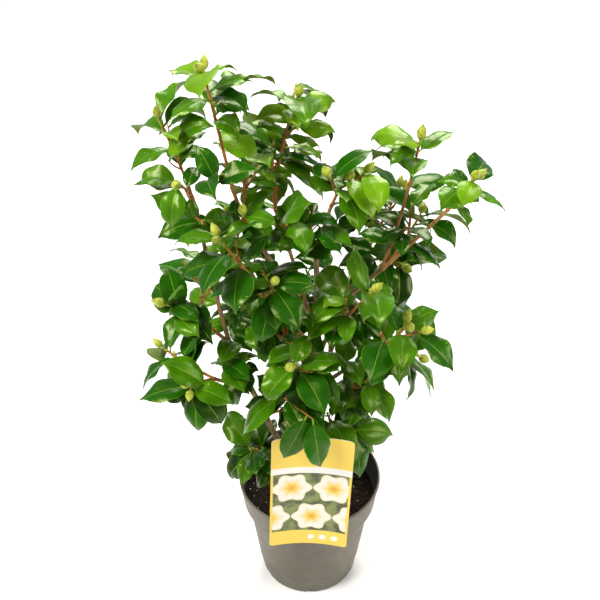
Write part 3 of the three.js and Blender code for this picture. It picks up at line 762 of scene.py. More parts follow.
@dataclass(frozen=True)
class Route:
    """A limb's centre line: a quadratic Bezier, (1-t)^2 start + 2t(1-t) control + t^2 tip."""

    start: Array
    control: Array
    tip: Array

    @staticmethod
    def bent(start: Array, heading: Array, tip: Array, sweep: float) -> "Route":
        """The route that leaves its start along `heading` by `sweep` of the way."""
        along = start + heading * np.linalg.norm(tip - start) * 0.5
        return Route(start, blend((start + tip) / 2, along, sweep), tip)

    def at(self, share: Any) -> Array:
        """The point, or points, at a share of the way."""
        t = np.asarray(share, float)[..., None]
        return (1 - t) ** 2 * self.start + 2 * t * (1 - t) * self.control + t * t * self.tip

    def heading(self, share: Any) -> Array:
        """The unit vector, or vectors, along the route at a share of the way."""
        t = np.clip(np.asarray(share, float), 5e-5, 1 - 5e-5)[..., None]
        return unit((1 - t) * (self.control - self.start) + t * (self.tip - self.control))

    def length(self) -> float:
        """The route's length in 200 short spans."""
        return float(np.linalg.norm(np.diff(self.at(np.linspace(0, 1, 201)), axis=0), axis=1).sum())

    def on_spans(self, spans: int, share: float) -> Array:
        """The point at a share of the way along the route drawn as straight spans."""
        span = min(math.floor(share * spans), spans - 1)
        return blend(self.at(span / spans), self.at((span + 1) / spans), share * spans - span)

    def begun_at(self, start: Array) -> "Route":
        """The same route from another start."""
        return Route(start, self.control, self.tip)


@dataclass(frozen=True)
class Limb:
    """A trunk, stem or bough: where it grows from, where it ends, how it bows and its foot and tip radii."""

    name: str
    bearer: str | None
    foot: Array | float  # a place on the soil, or a share of the way along its bearer
    tip: Array
    sweep: float
    radii: Pair


@dataclass(frozen=True)
class Mass:
    """A mass of foliage: the limb and share that it grows from, its tip, side shoots, end buds and seed."""

    name: str
    bearer: str
    share: float
    tip: Array
    shoots: int
    buds: int
    seed: int


SOIL_TOP = 141.3
LIMBS = tuple(
    Limb(name, bearer, foot if bearer else place(*foot, SOIL_TOP), place(*tip), sweep, radii)
    for name, bearer, foot, tip, sweep, radii in (
        ("trunk", None, (15, 14), (0, 6, 526), 0.1, (6.4, 3.2)),
        ("left_stem", None, (150, 9), (194, 101, 420), -0.1, (4.6, 2.9)),
        ("left_bough", "trunk", 0.72, (180, 72, 565), 0.12, (2.9, 2.4)),
        ("left_bough_upper", "left_bough", 1, (180, 90, 634), 0.3, (2.3, 2)),
        ("leader", "trunk", 1, (0, 22, 596), 0.3, (2.7, 2.1)),
        ("right_bough", "trunk", 0.74, (358, 82, 512), 0.1, (3, 2.5)),
        ("right_bough_outer", "right_bough", 1, (0, 152, 590), 0.3, (2.4, 2)),
        ("right_bough_upper", "right_bough", 1, (16, 116, 604), 0.1, (2.3, 1.9)),
        ("rear_left_high", "trunk", 0.66, (130, 65, 560), 0.2, (2.8, 2.2)),
        ("left_stem_upper", "left_stem", 1, (167, 136, 574), 0.3, (2.7, 2.1)),
        ("left_stem_outer", "left_stem", 1, (194, 128, 452), 0.1, (2.4, 2.1)),
        ("left_low_bough", "left_stem", 0.7, (197, 122, 372), 0.1, (2.5, 2.1)),
        ("front_bough", "trunk", 0.42, (305, 58, 462), 0.25, (2.8, 2.2)),
        ("front_left_bough", "trunk", 0.6, (232, 62, 492), 0.15, (2.6, 2.1)),
        ("right_low_bough", "trunk", 0.47, (322, 94, 428), 0.15, (2.8, 2.2)),
        ("rear_right_bough", "trunk", 0.6, (49, 98, 470), 0.15, (2.8, 2.2)),
        ("rear_left_bough", "trunk", 0.5, (127, 100, 420), 0.15, (2.8, 2.2)),
        ("rear_low_bough", "trunk", 0.3, (70, 80, 330), 0.15, (2.8, 2.2)),
    )
)
MASSES = tuple(
    Mass(f"foliage_{name}", bearer, share, place(*tip), shoots, buds, seed)
    for name, bearer, share, tip, shoots, buds, seed in (
        ("top", "left_bough_upper", 1, (180, 112, 755), 0, 2, 14),
        ("left_top", "left_stem_upper", 1, (170, 170, 689), 0, 1, 1),
        ("left_high", "left_stem_upper", 1, (191, 147, 641), 1, 1, 29),
        ("left_between", "left_bough_upper", 1, (190, 118, 637), 1, 0, 23),
        ("left_upper_middle", "left_stem_upper", 1, (176, 141, 569), 1, 0, 9),
        ("inner_left_high", "left_bough", 1, (157, 78, 645), 1, 2, 2),
        ("rear_left_high", "rear_left_high", 1, (125, 74, 647), 1, 2, 12),
        ("top_middle", "rear_left_high", 1, (105, 62, 699), 0, 1, 30),
        ("centre_high", "leader", 1, (0, 37, 632), 2, 2, 37),
        ("right_top", "right_bough_upper", 1, (14, 123, 660), 0, 1, 4),
        ("right_tip", "right_bough_outer", 1, (0, 178, 629), 0, 2, 3),
        ("right_high", "right_bough", 1, (17, 134, 561), 2, 1, 10),
        ("right_inner", "rear_right_bough", 1, (20, 118, 490), 2, 1, 19),
        ("front_right", "front_bough", 1, (303, 72, 512), 1, 2, 16),
        ("front_right_tip", "right_low_bough", 1, (323, 131, 488), 2, 2, 35),
        ("front_left_inner", "front_left_bough", 1, (242, 91, 546), 1, 1, 37),
        ("left_inner", "left_bough", 1, (211, 87, 610), 1, 2, 16),
        ("front_left_high", "front_left_bough", 1, (221, 129, 606), 1, 2, 31),
        ("left_tip", "left_stem_outer", 1, (194, 169, 489), 1, 1, 4),
        ("left_middle", "left_stem_outer", 1, (180, 124, 520), 2, 0, 24),
        ("left_low_tip", "left_low_bough", 1, (186, 180, 407), 0, 1, 1),
        ("front_left_low", "left_low_bough", 1, (211, 165, 401), 1, 2, 33),
        ("front_low", "trunk", 0.5, (258, 97, 443), 2, 1, 41),
        ("left_heart", "trunk", 0.58, (212, 76, 463), 1, 0, 9),
        ("right_low", "right_low_bough", 1, (343, 134, 412), 1, 1, 41),
        ("foot_right", "trunk", 0.3, (313, 76, 304), 1, 0, 42),
        ("foot_left", "left_stem", 0.25, (201, 84, 246), 0, 0, 25),
        ("rear_right_high", "rear_right_bough", 1, (50, 172, 540), 2, 1, 42),
        ("rear_right_low", "rear_low_bough", 1, (52, 150, 396), 2, 1, 4),
        ("rear_left_top", "rear_left_bough", 1, (132, 168, 500), 2, 1, 4),
        ("rear_left_low", "rear_left_bough", 1, (140, 150, 384), 2, 0, 9),
        ("rear_high", "rear_left_high", 1, (110, 134, 606), 2, 1, 29),
        ("rear_low", "rear_low_bough", 1, (92, 140, 410), 2, 0, 39),
        ("right_heart", "trunk", 0.4, (319, 91, 392), 2, 0, 33),
        ("front_foot", "trunk", 0.38, (244, 84, 380), 2, 0, 14),
        ("left_fork", "left_stem", 0.78, (210, 122, 424), 1, 0, 13),
        ("heart", "front_bough", 1, (317, 89, 520), 1, 1, 8),
        ("centre", "trunk", 1, (240, 35, 596), 2, 0, 30),
    )
)


@dataclass(frozen=True)
class Fit:
    """How near leaves may come to each other, to limbs and to their space's edge, and how far they shrink."""

    spacing: float
    clearance: float
    margin: float
    shrinks: tuple[float, ...]


@dataclass
class Leaf:
    """A leaf's place: its root, the directions it heads and faces, its side, its arch and its size."""

    root: Array
    heading: Array
    face: Array
    side: Array
    arch: float
    length: float
    width: float
    shown_root: Array
    age: float  # from 0 at the foot of its shoot to 1 at the tip
    traits: Array  # chances for its fold, cup, twist, waves and curl
    samples: Array = field(default_factory=lambda: np.zeros((0, 3)))
    mass: int = 0

    def point(self, share: Array, across: Array) -> Array:
        """A point of the blade, whose midrib is an arc that bends away from its upper face.

        Args:
            share: How far along the leaf it lies.
            across: How far to the leaf's side.

        Returns:
            The point, or points.
        """
        turned = self.arch * np.asarray(share, float)[..., None]
        ahead = self.length * np.sin(turned) / self.arch
        down = self.length * (1 - np.cos(turned)) / self.arch
        return self.root + self.heading * ahead - self.face * down + self.side * np.asarray(across)[..., None]

    def turned(self, sideways: float, upward: float) -> "Leaf":
        """The leaf turned on its root to one side and up or down."""
        heading = unit(self.heading + self.side * sideways + self.face * upward)
        face = unit(self.face - heading * (self.face @ heading))
        return replace(self, heading=heading, face=face, side=np.cross(face, heading))


@dataclass
class Twig:
    """A stem or side shoot of a spray with its foot and tip radii."""

    route: Route
    radii: Pair


@dataclass
class Bud:
    """A flower bud's root, heading and size as a share of the full one."""

    root: Array
    heading: Array
    scale: float = 1.0


@dataclass
class Spray:
    """What grows in one mass of foliage."""

    mass: int
    seed: int
    stem: Route
    own_twigs: Rods
    twigs: list[Twig] = field(default_factory=list)
    leaves: list[Leaf] = field(default_factory=list)
    buds: list[Bud] = field(default_factory=list)


def segments_of(route: Route, radii: Pair, steps: int = 8) -> Rods:
    """A limb as short rods: their starts, ends and radii."""
    points = route.at(np.linspace(0, 1, steps + 1))
    return points[:-1], points[1:], blend(radii[0], radii[1], (np.arange(steps) + 0.5) / steps)


def stacked(rods: Sequence[Rods]) -> Rods:
    """Several groups of rods as one."""
    return tuple(np.concatenate(parts) for parts in zip(*rods))


def gap_to(points: Array, rods: Rods) -> Array:
    """The gap from each point to the nearest rod's surface.

    A rod's nearest axis point is start + t (end - start) with t clipped to 0..1, and its radius comes off.

    Args:
        points: The points.
        rods: The rods.

    Returns:
        A gap for each point, below 0 inside a rod.
    """
    starts, ends, radii = rods
    along = ends - starts
    share = ((points[:, None] - starts) * along).sum(-1) / (along * along).sum(-1)
    nearest = starts + np.clip(share, 0, 1)[..., None] * along
    return (np.linalg.norm(points[:, None] - nearest, axis=-1) - radii).min(axis=1)


@dataclass
class Crown:
    """Grows every spray of the plant by its rule."""

    leaf_length: float = 61.0
    leaf_spread: float = 12.0  # how far a leaf's length varies either way
    slim: float = 0.48  # a leaf's width as a share of its length, for the slimmest and the broadest
    broad: float = 0.58
    sunk: float = 0.2
    shoulder: Pair = (0.3, 0.94)  # the blade's two stations, as shares of length and width
    waist: Pair = (0.7, 0.78)
    stem_radii: Pair = (2.3, 1.6)
    shoot_radii: Pair = (1.9, 1.6)
    fine_radii: Pair = (1.3, 0.9)
    stem_spans: int = 3
    shoot_spans: int = 2
    tip_sweep: float = 0.35
    side_sweep: float = 0.1
    shoot_sweep: float = 0.6
    leaf_pitch: float = 30.0
    leaf_angles: Pair = (1.45, 1.05)  # from the shoot, for leaves at its foot and at its tip
    angle_spread: float = 0.4
    leaf_rise: float = 0.12
    face_lean: float = 0.6  # how far a leaf faces along its shoot
    face_turn: float = 0.7  # how far it may face to either side
    least_arch: float = 0.5
    arch_spread: float = 1.1
    first_leaf: Pair = (0.25, 0.4)  # where a stem's leaves begin, without side shoots and with them
    stem_leaves: int = 4  # before those that a stem's length adds
    last_node: float = 0.98  # the share of the way along a shoot at which its last leaf stands
    crowding: float = 0.7  # the power that crowds leaves towards a shoot's tip
    shoot_leaves: int = 3
    shoot_first: float = 0.5  # where a side shoot's leaves begin
    shoots_begin: float = 0.3  # where side shoots begin on a stem, and how much of it they take up
    shoots_over: float = 0.5
    shoot_lean: float = 0.75  # how far a side shoot leans along its stem
    shoot_lift: float = 0.45
    shoot_share: float = 0.45
    shoot_range: Pair = (30.0, 46.0)
    heart_share: float = 0.8
    bud_radius: float = 5.2
    bud_reach: float = 22.0  # stalk and bud
    bud_sunk: float = 2.0
    bud_chance: float = 0.45
    bud_leans: Pair = (0.25, 0.75)  # of a single bud, and of one of two
    least_bud: float = 0.9
    bud_spread: float = 0.22
    pot_radius: float = 96.2
    pot_height: float = 172.0
    label_half_width: float = 57.0
    label_band: Pair = (-102.0, -95.0)
    label_top: float = 333.0
    turns: tuple[float, ...] = (0, 0.6, -0.6, 1.2, -1.2, 1.9, -1.9, 2.6)
    main_fit: Fit = Fit(6.0, 2.4, 0.8, (1.0, 0.8))
    fine_fit: Fit = Fit(3.8, 1.8, 0.3, (0.9, 0.75, 0.6))
    fine_shoots: int = 6
    fine_first: int = 10  # the number before the first fine shoot's
    fine_node: int = 40  # the number of the first small leaf between the main ones
    fine_span: Pair = (0.12, 0.84)  # where the fine shoots leave the stem
    fine_spread: float = 0.1
    fine_lean: float = 0.6
    fine_lift: float = 0.5
    between_first: float = 0.3  # where the small leaves between a stem's main ones begin
    fine_lengths: Pair = (20.0, 34.0)
    fine_nodes: tuple[float, ...] = (0.6, 0.85, 0.98)
    between_nodes: tuple[float, ...] = (0.38, 0.62, 0.8)
    fine_reach: Pair = (110.0, -2.0)  # the least reach, and that past the stem's own tip
    fine_rise: float = 4.0  # how far a small leaf may stand above its stem's tip
    blade_gap: float = 1.0  # the least from a bent blade to a twig
    foot_reach: float = 8.0  # how far from its root a blade may touch what bears it
    least_room: float = 0.1  # less than this and a settled leaf is left out
    asides: tuple[Pair, ...] = (
        (0.2, 0), (-0.2, 0), (0, 0.2), (0, -0.2), (0.35, 0.2), (-0.35, 0.2),
    )
    card_mass: str = "foliage_front_foot"  # a shoot of this mass reaches over the card's head
    card_shoot: float = 0.95  # where it leaves the mass's stem
    card_reach: Triple = (2.0, -108.0, 373.0)
    card_aims: tuple[Triple, ...] = ((12, -124, 306), (-34, -117, 313))  # its leaves' tips
    card_nodes: tuple[float, ...] = (0.99, 0.84)  # where they are rooted along the shoot
    card_number: int = 30  # the shoot's own number among the chances
    card_arch: float = 0.4
    card_face: Triple = (0.0, -1.0, 0.3)

    def __post_init__(self) -> None:
        """Lays out the routes, each mass's space and what stands in a leaf's way."""
        self.routes: dict[str, Route] = {}
        for limb in LIMBS:
            if limb.bearer is None:
                self.routes[limb.name] = Route.bent(limb.foot, UP, limb.tip, limb.sweep)
            else:
                bearer = self.routes[limb.bearer]
                start, heading = bearer.at(limb.foot), bearer.heading(limb.foot)
                self.routes[limb.name] = Route.bent(start, heading, limb.tip, limb.sweep)
        self.stems = [self.stem_of(mass) for mass in MASSES]
        self.hearts = np.array([stem.at(self.heart_share) for stem in self.stems])
        self.limb_rods = stacked([segments_of(self.routes[limb.name], limb.radii) for limb in LIMBS])
        self.stem_rods = [segments_of(stem, self.stem_radii) for stem in self.stems]
        self.other_rods = [
            stacked([self.limb_rods] + [rods for i, rods in enumerate(self.stem_rods) if i != mass])
            for mass in range(len(MASSES))
        ]

    def stem_of(self, mass: Mass) -> Route:
        """The route of a mass's main stem."""
        bearer = self.routes[mass.bearer]
        sweep = self.tip_sweep if mass.share == 1 else self.side_sweep
        return Route.bent(bearer.at(mass.share), bearer.heading(mass.share), mass.tip, sweep)

    def in_own_space(self, mass: int, points: Array, margin: float) -> bool:
        """True where all points lie on a mass's own side of the planes midway to the others.

        Args:
            mass: The mass's number.
            points: The points.
            margin: The least way to a plane.

        Returns:
            Whether they do.
        """
        across = np.delete(self.hearts, mass, axis=0) - self.hearts[mass]
        distance = np.linalg.norm(across, axis=1)
        reach = (points - self.hearts[mass]) @ across.T / distance
        return bool((reach < distance / 2 - margin).all())

    def is_clear(self, mass: int, points: Array, clearance: float) -> bool:
        """True where all points are clear of every limb, other stem, the pot and the label.

        Args:
            mass: The number of the mass whose own stem doesn't count.
            points: The points.
            clearance: The least gap.

        Returns:
            Whether they are.
        """
        x, y, z = points.T
        over_pot = (np.hypot(x, y) < self.pot_radius + clearance) & (z < self.pot_height + clearance)
        front, back = self.label_band
        by_label = (np.abs(x) < self.label_half_width + clearance) & (z < self.label_top + clearance)
        by_label &= (y > front - 2 * clearance) & (y < back + clearance)
        if over_pot.any() or by_label.any():
            return False
        return bool((gap_to(points, self.other_rods[mass]) >= clearance).all())

    def samples_of(self, leaf: Leaf) -> Array:
        """Points spread over a blade, from a third of the way along it to its tip."""
        share = np.arange(2, 8) / 7
        half = leaf.width / 2 * np.sin(np.pi * np.minimum(share * 0.9 + 0.1, 1))
        across = half[:, None] * np.array([-1, -0.5, 0, 0.5, 1])
        return leaf.point(np.broadcast_to(share[:, None], across.shape), across).reshape(-1, 3)

    def fits(self, leaf: Leaf, spray: Spray, fit: Fit) -> bool:
        """True where a leaf stays in its space, off all limbs and twigs and off the leaves already there.

        Args:
            leaf: The leaf.
            spray: What grows in its mass so far.
            fit: How close it may come.

        Returns:
            Whether it does.
        """
        slope = self.shoulder[1] * leaf.width / 2 / self.shoulder[0]
        share = np.repeat([0.05, 0.1, 0.15, 0.2, 0.25], 3)
        base = leaf.point(share, np.tile([-1, 0, 1], 5) * share * slope)
        stations = np.array([self.shoulder, self.shoulder, self.waist, self.waist, (1, 0)])
        edges = leaf.point(stations[:, 0], stations[:, 1] * leaf.width / 2 * np.array([1, -1, 1, -1, 0]))
        if not self.in_own_space(spray.mass, np.concatenate([base, edges]), fit.margin):
            return False
        if not self.is_clear(spray.mass, base, fit.margin):
            return False
        if fit is self.fine_fit and not self.is_inside(edges, spray.stem.tip):
            return False
        if spray.leaves:
            others = np.concatenate([other.samples for other in spray.leaves])
            if np.linalg.norm(leaf.samples[:, None] - others, axis=-1).min() <= fit.spacing:
                return False
        if (gap_to(leaf.samples, spray.own_twigs) < fit.clearance).any():
            return False
        return self.is_clear(spray.mass, leaf.samples, fit.clearance)

    def is_inside(self, points: Array, tip: Array) -> bool:
        """True where points stay within the outline that a mass's main leaves give it."""
        least, past = self.fine_reach
        within = np.hypot(points[:, 0], points[:, 1]) < max(least, math.hypot(tip[0], tip[1]) + past)
        return bool((within & (points[:, 2] < tip[2] + self.fine_rise)).all())

    def grow_leaf(
        self, spray: Spray, shoot: int, node: int, root: Array, shown: Array, axis: Array, azimuth: float,
        angle: float, fit: Fit, age: float,
    ) -> None:
        """Adds the leaf at one node of a shoot, turned or shrunk until it fits, or leaves it out.

        Args:
            spray: The mass that it grows in.
            shoot: The shoot's number.
            node: The node's number on the shoot.
            root: Where it is rooted on the frame's straight twig.
            shown: Where it is rooted on the smooth one.
            axis: The shoot's heading there.
            azimuth: Its angle round the shoot.
            angle: Its angle to the shoot.
            fit: How close it may come to what is there.
            age: How far along its shoot it stands.
        """
        roll = [chance(spray.seed, shoot, node, trait) for trait in range(12)]
        length = self.leaf_length + self.leaf_spread * (2 * roll[0] - 1)
        width = blend(self.slim, self.broad, roll[1]) * length
        for shrink in fit.shrinks:
            for turn in self.turns:
                outward = outward_from(axis, azimuth + turn)
                heading = unit(axis * math.cos(angle) + outward * math.sin(angle) + UP * self.leaf_rise)
                face = UP + axis * self.face_lean + outward * self.face_turn * (roll[3] - 0.5)
                face = unit(face - heading * (face @ heading))
                sunk = heading * self.sunk
                arch = self.least_arch + self.arch_spread * roll[2]
                leaf = Leaf(
                    root - sunk, heading, face, np.cross(face, heading), arch, length * shrink, width * shrink,
                    shown - sunk, age, np.array(roll[5:12]), mass=spray.mass,
                )
                leaf.samples = self.samples_of(leaf)
                if self.fits(leaf, spray, fit):
                    spray.leaves.append(leaf)
                    return

    def grow_along(
        self, spray: Spray, shoot: int, route: Route, shown: Route, shares: Sequence[float], first_node: int,
        fit: Fit,
    ) -> None:
        """Adds a shoot's leaves at shares of the way along it, each a golden angle round from the last.

        Args:
            spray: The mass that it grows in.
            shoot: The shoot's number.
            route: The shoot as the frame has it.
            shown: The shoot as it is shown.
            shares: Where the leaves are rooted.
            first_node: The number of the first leaf.
            fit: How close they may come to what is there.
        """
        spans = self.stem_spans if shoot == 0 else self.shoot_spans
        for step, share in enumerate(shares):
            node = first_node + step
            azimuth = 2 * math.pi * chance(spray.seed, shoot, Draw.AZIMUTH, 0) + node * GOLDEN_ANGLE
            spread = self.angle_spread * (chance(spray.seed, shoot, node, 4) - 0.5)
            angle = blend(*self.leaf_angles, share) + spread
            root, axis = route.on_spans(spans, share), route.heading(share)
            self.grow_leaf(spray, shoot, node, root, shown.at(share), axis, azimuth, angle, fit, share)

    def nodes_from(self, first: float, count: int, between: bool = False) -> list[float]:
        """Shares of the way along a shoot for so many leaves from a first one, or for as many between them."""
        steps = [(node + 0.5) / count if between else node / (count - 1) for node in range(count)]
        return [blend(first, self.last_node, step**self.crowding) for step in steps]

    def shoots_on(self, spray: Spray, count: int) -> list[tuple[int, Route, float]]:
        """A mass's side shoots: each one's number, route and share up the stem.

        Args:
            spray: The mass, with its stem.
            count: How many shoots are asked for.

        Returns:
            Those that find a free way.
        """
        shoots = []
        stem, reach = spray.stem, spray.stem.length()
        for i in range(1, count + 1):
            share = self.shoots_begin + self.shoots_over * (i - 0.5) / count
            start, axis = stem.on_spans(self.stem_spans, share), stem.heading(share)
            length = float(np.clip(reach * self.shoot_share, *self.shoot_range))
            for turn in self.turns:
                around = 2 * math.pi * chance(spray.seed, 0, Draw.TURN, 0) + i * GOLDEN_ANGLE + turn
                heading = unit(axis * self.shoot_lean + outward_from(axis, around))
                lifted = unit(heading + UP * self.shoot_lift)
                route = Route.bent(start, heading, start + lifted * length, self.shoot_sweep)
                if self.way_is_free(spray.mass, route, self.main_fit):
                    shoots.append((i, route, share))
                    break
        return shoots

    def way_is_free(self, mass: int, route: Route, fit: Fit) -> bool:
        """True where a shoot stays in its mass's space and clear of what stands there."""
        points = route.at(np.arange(6) / 5)
        return self.is_clear(mass, points, fit.clearance) and self.in_own_space(mass, points, fit.margin)

    def grow_buds(self, spray: Spray, shoot: int, route: Route, count: int) -> None:
        """Adds the flower buds that end a shoot, leaning apart where there are two.

        Args:
            spray: The mass that they grow in.
            shoot: The shoot's number.
            route: The shoot.
            count: How many buds end it.
        """
        axis = route.heading(1.0)
        for i in range(count):
            around = 2 * math.pi * (chance(spray.seed, shoot, Draw.BUD_TURN, 0) + i / max(count, 1))
            lean = self.bud_leans[count > 1]
            heading = unit(axis + outward_from(axis, around) * lean)
            root = route.tip - axis * self.bud_sunk
            points = np.array([root + heading * self.bud_reach * 0.6, root + heading * self.bud_reach])
            clear = self.is_clear(spray.mass, points, self.bud_radius + self.main_fit.margin)
            if clear and self.in_own_space(spray.mass, points, self.main_fit.margin):
                size = self.least_bud + self.bud_spread * chance(spray.seed, shoot, Draw.BUD_SIZE, i)
                spray.buds.append(Bud(root, heading, size))

    def grow_fine(self, spray: Spray, shoots: Sequence[tuple[int, Route, Route]], leaf_count: int) -> None:
        """Fills a spray out between its main leaves, and with short shoots of small leaves.

        Args:
            spray: The mass.
            shoots: Each side shoot's number, and it as the frame has it and as it is shown.
            leaf_count: How many main leaves the stem was laid out for.
        """
        between = self.nodes_from(self.between_first, leaf_count, between=True)
        self.grow_along(spray, 0, spray.stem, spray.stem, between, self.fine_node, self.fine_fit)
        for index, route, shown in shoots:
            self.grow_along(spray, index, route, shown, self.between_nodes, self.fine_node, self.fine_fit)
        for i in range(1, self.fine_shoots + 1):
            number = self.fine_first + i
            spread = self.fine_spread * chance(spray.seed, number, Draw.TWIG_SHARE, 0)
            share = blend(*self.fine_span, i / self.fine_shoots) + spread
            start, axis = spray.stem.at(share), spray.stem.heading(share)
            for turn in self.turns:
                around = 2 * math.pi * chance(spray.seed, number, Draw.TURN, 0) + turn
                heading = unit(axis * self.fine_lean + outward_from(axis, around))
                length = blend(*self.fine_lengths, chance(spray.seed, number, Draw.TWIG_LENGTH, 0))
                tip = start + unit(heading + UP * self.fine_lift) * length
                route = Route.bent(start, heading, tip, self.shoot_sweep)
                if self.way_is_free(spray.mass, route, self.fine_fit) and self.misses_what_grew(spray, route):
                    before = len(spray.leaves)
                    self.grow_along(spray, number, route, route, self.fine_nodes, 0, self.fine_fit)
                    if len(spray.leaves) > before:
                        spray.twigs.append(Twig(route, self.fine_radii))
                    break

    def grow_over_card(self, spray: Spray) -> None:
        """Adds a short shoot that passes the card's head, and the leaves that hang from it in front of the card.

        Leaves that would meet them give way. A leaf's tip comes to its aim where its heading is turned up from
        the chord by half its arch a, and its length is the chord times (a / 2) / sin(a / 2).

        Args:
            spray: The mass that they grow from.
        """
        start, axis = spray.stem.at(self.card_shoot), spray.stem.heading(self.card_shoot)
        route = Route.bent(start, axis, np.array(self.card_reach), self.side_sweep)
        spray.twigs.append(Twig(route, self.fine_radii))
        half = self.card_arch / 2
        hung = []
        for node, (share, aim) in enumerate(zip(self.card_nodes, self.card_aims)):
            root = route.at(share)
            chord = unit(np.array(aim) - root)
            front = np.array(self.card_face)
            front = unit(front - chord * (front @ chord))
            heading = chord * math.cos(half) + front * math.sin(half)
            face = front * math.cos(half) - chord * math.sin(half)
            length = float(np.linalg.norm(np.array(aim) - root)) * half / math.sin(half)
            traits = np.array([0.5 * chance(spray.seed, self.card_number, node, trait) for trait in range(7)])
            leaf = Leaf(
                root, heading, face, np.cross(face, heading), self.card_arch, length, length * self.slim, root,
                share, traits, mass=spray.mass,
            )
            leaf.samples = self.samples_of(leaf)
            hung.append(leaf)
        blades = self.blade_points(hung).reshape(-1, 3)
        gaps = [np.linalg.norm(one[:, None] - blades, axis=-1).min() for one in self.blade_points(spray.leaves)]
        spray.leaves = [leaf for leaf, gap in zip(spray.leaves, gaps) if gap > 2 * self.blade_gap] + hung

    def blade_points(self, leaves: Sequence[Leaf]) -> Array:
        """Points close together on bent blades past their stalks, as leaves x points x 3."""
        blades = LeafForm().rings(leaves)[:, 3:]
        middles = (blades[:, 1:, 1:] + blades[:, :-1, :-1]) / 2
        return np.concatenate([part.reshape(len(leaves), -1, 3) for part in (blades, middles)], axis=1)

    def misses_what_grew(self, spray: Spray, route: Route) -> bool:
        """True where a short shoot passes the buds and the bent blades that are already there.

        Args:
            spray: What grows so far.
            route: The short shoot.

        Returns:
            Whether it does.
        """
        points = route.at(np.linspace(0.25, 1, 12))
        if spray.buds and gap_to(points, self.bud_rods(spray)).min() < self.blade_gap + self.fine_radii[0]:
            return False
        gaps = np.linalg.norm(self.blade_points(spray.leaves).reshape(-1, 1, 3) - points, axis=-1)
        return bool(gaps.min() > self.blade_gap + self.fine_radii[0])

    def bud_rods(self, spray: Spray) -> Rods:
        """A spray's flower buds as rods, somewhat slimmer than the buds."""
        roots = np.array([bud.root for bud in spray.buds])
        tips = np.array([bud.root + bud.heading * self.bud_reach for bud in spray.buds])
        return roots, tips, np.full(len(spray.buds), self.bud_radius * 0.7)

    def blade_room(self, leaf: Leaf, rods: Rods) -> float:
        """The least gap between a leaf's bent blade and the rods near it."""
        points = self.blade_points([leaf])[0]
        past_foot = np.linalg.norm(points - leaf.shown_root, axis=1) > self.foot_reach
        return float(gap_to(points[past_foot], rods).min())

    def settled(self, spray: Spray) -> list[Leaf]:
        """A spray's leaves, with those that would meet a twig or bud made flat, turned aside or left out.

        Args:
            spray: What grows in one mass.

        Returns:
            The leaves that stay.
        """
        own = [segments_of(twig.route, twig.radii) for twig in spray.twigs]
        own += [self.bud_rods(spray)] if spray.buds else []
        starts, ends, radii = stacked([*own, self.other_rods[spray.mass]])
        kept = []
        for leaf in spray.leaves:
            near = np.linalg.norm((starts + ends) / 2 - leaf.shown_root, axis=1) < leaf.length + 30
            rods = (starts[near], ends[near], radii[near])
            if self.blade_room(leaf, rods) < self.blade_gap:
                flat = replace(leaf, traits=np.append(FLAT_TRAITS, leaf.traits[-1]))
                choices = [flat] + [flat.turned(*aside) for aside in self.asides]
                leaf = max(choices, key=lambda one: min(self.blade_room(one, rods), self.blade_gap))
            if self.blade_room(leaf, rods) > self.least_room:
                kept.append(leaf)
        return kept

    def bears_leaf(self, spray: Spray, twig: Twig) -> bool:
        """True where a leaf is rooted on the outer part of a twig."""
        roots = np.array([leaf.shown_root for leaf in spray.leaves])
        points = twig.route.at(np.linspace(0.75, 1, 6))
        return bool(np.linalg.norm(roots[:, None] - points, axis=2).min() < 4)

    def spray_of(self, index: int) -> Spray:
        """Grows one mass: the frame's stem, shoots, leaves and buds first, and then the finer growth.

        Args:
            index: The mass's number.

        Returns:
            What grows in it.
        """
        mass, stem = MASSES[index], self.stems[index]
        spray = Spray(index, mass.seed, stem, self.stem_rods[index])
        spray.twigs.append(Twig(stem, self.stem_radii))
        found = self.shoots_on(spray, mass.shoots)
        shoots = [(i, route, route.begun_at(stem.at(share))) for i, route, share in found]
        rods = [segments_of(route, self.shoot_radii) for _, route, _ in shoots]
        spray.own_twigs = stacked([self.stem_rods[index], *rods])
        leaf_count = self.stem_leaves + math.floor(stem.length() / self.leaf_pitch + 0.5)
        shares = self.nodes_from(self.first_leaf[bool(shoots)], leaf_count)
        self.grow_along(spray, 0, stem, stem, shares, 0, self.main_fit)
        self.grow_buds(spray, 0, stem, mass.buds)
        for i, route, shown in shoots:
            nodes = self.nodes_from(self.shoot_first, self.shoot_leaves)
            self.grow_along(spray, i, route, shown, nodes, 0, self.main_fit)
            has_bud = mass.buds > 0 and chance(mass.seed, i, Draw.HAS_BUD, 0) > 1 - self.bud_chance
            self.grow_buds(spray, i, route, int(has_bud))
            spray.twigs.append(Twig(shown, self.shoot_radii))
        self.grow_fine(spray, shoots, leaf_count)
        if mass.name == self.card_mass:
            self.grow_over_card(spray)
        spray.leaves = self.settled(spray)
        spray.twigs = [
            twig for twig in spray.twigs if twig.radii != self.fine_radii or self.bears_leaf(spray, twig)
        ]
        return spray

    def grow(self) -> list[Spray]:
        """All the plant's sprays."""
        return [self.spray_of(index) for index in range(len(MASSES))]


# ---- Leaves, twigs and buds ----


class LeafPart(Enum):
    """The parts of a leaf that have a finish of their own, numbered after the tints."""

    RIB = len(LeafTint)
    MARGIN = len(LeafTint) + 1
    UNDERSIDE = len(LeafTint) + 2


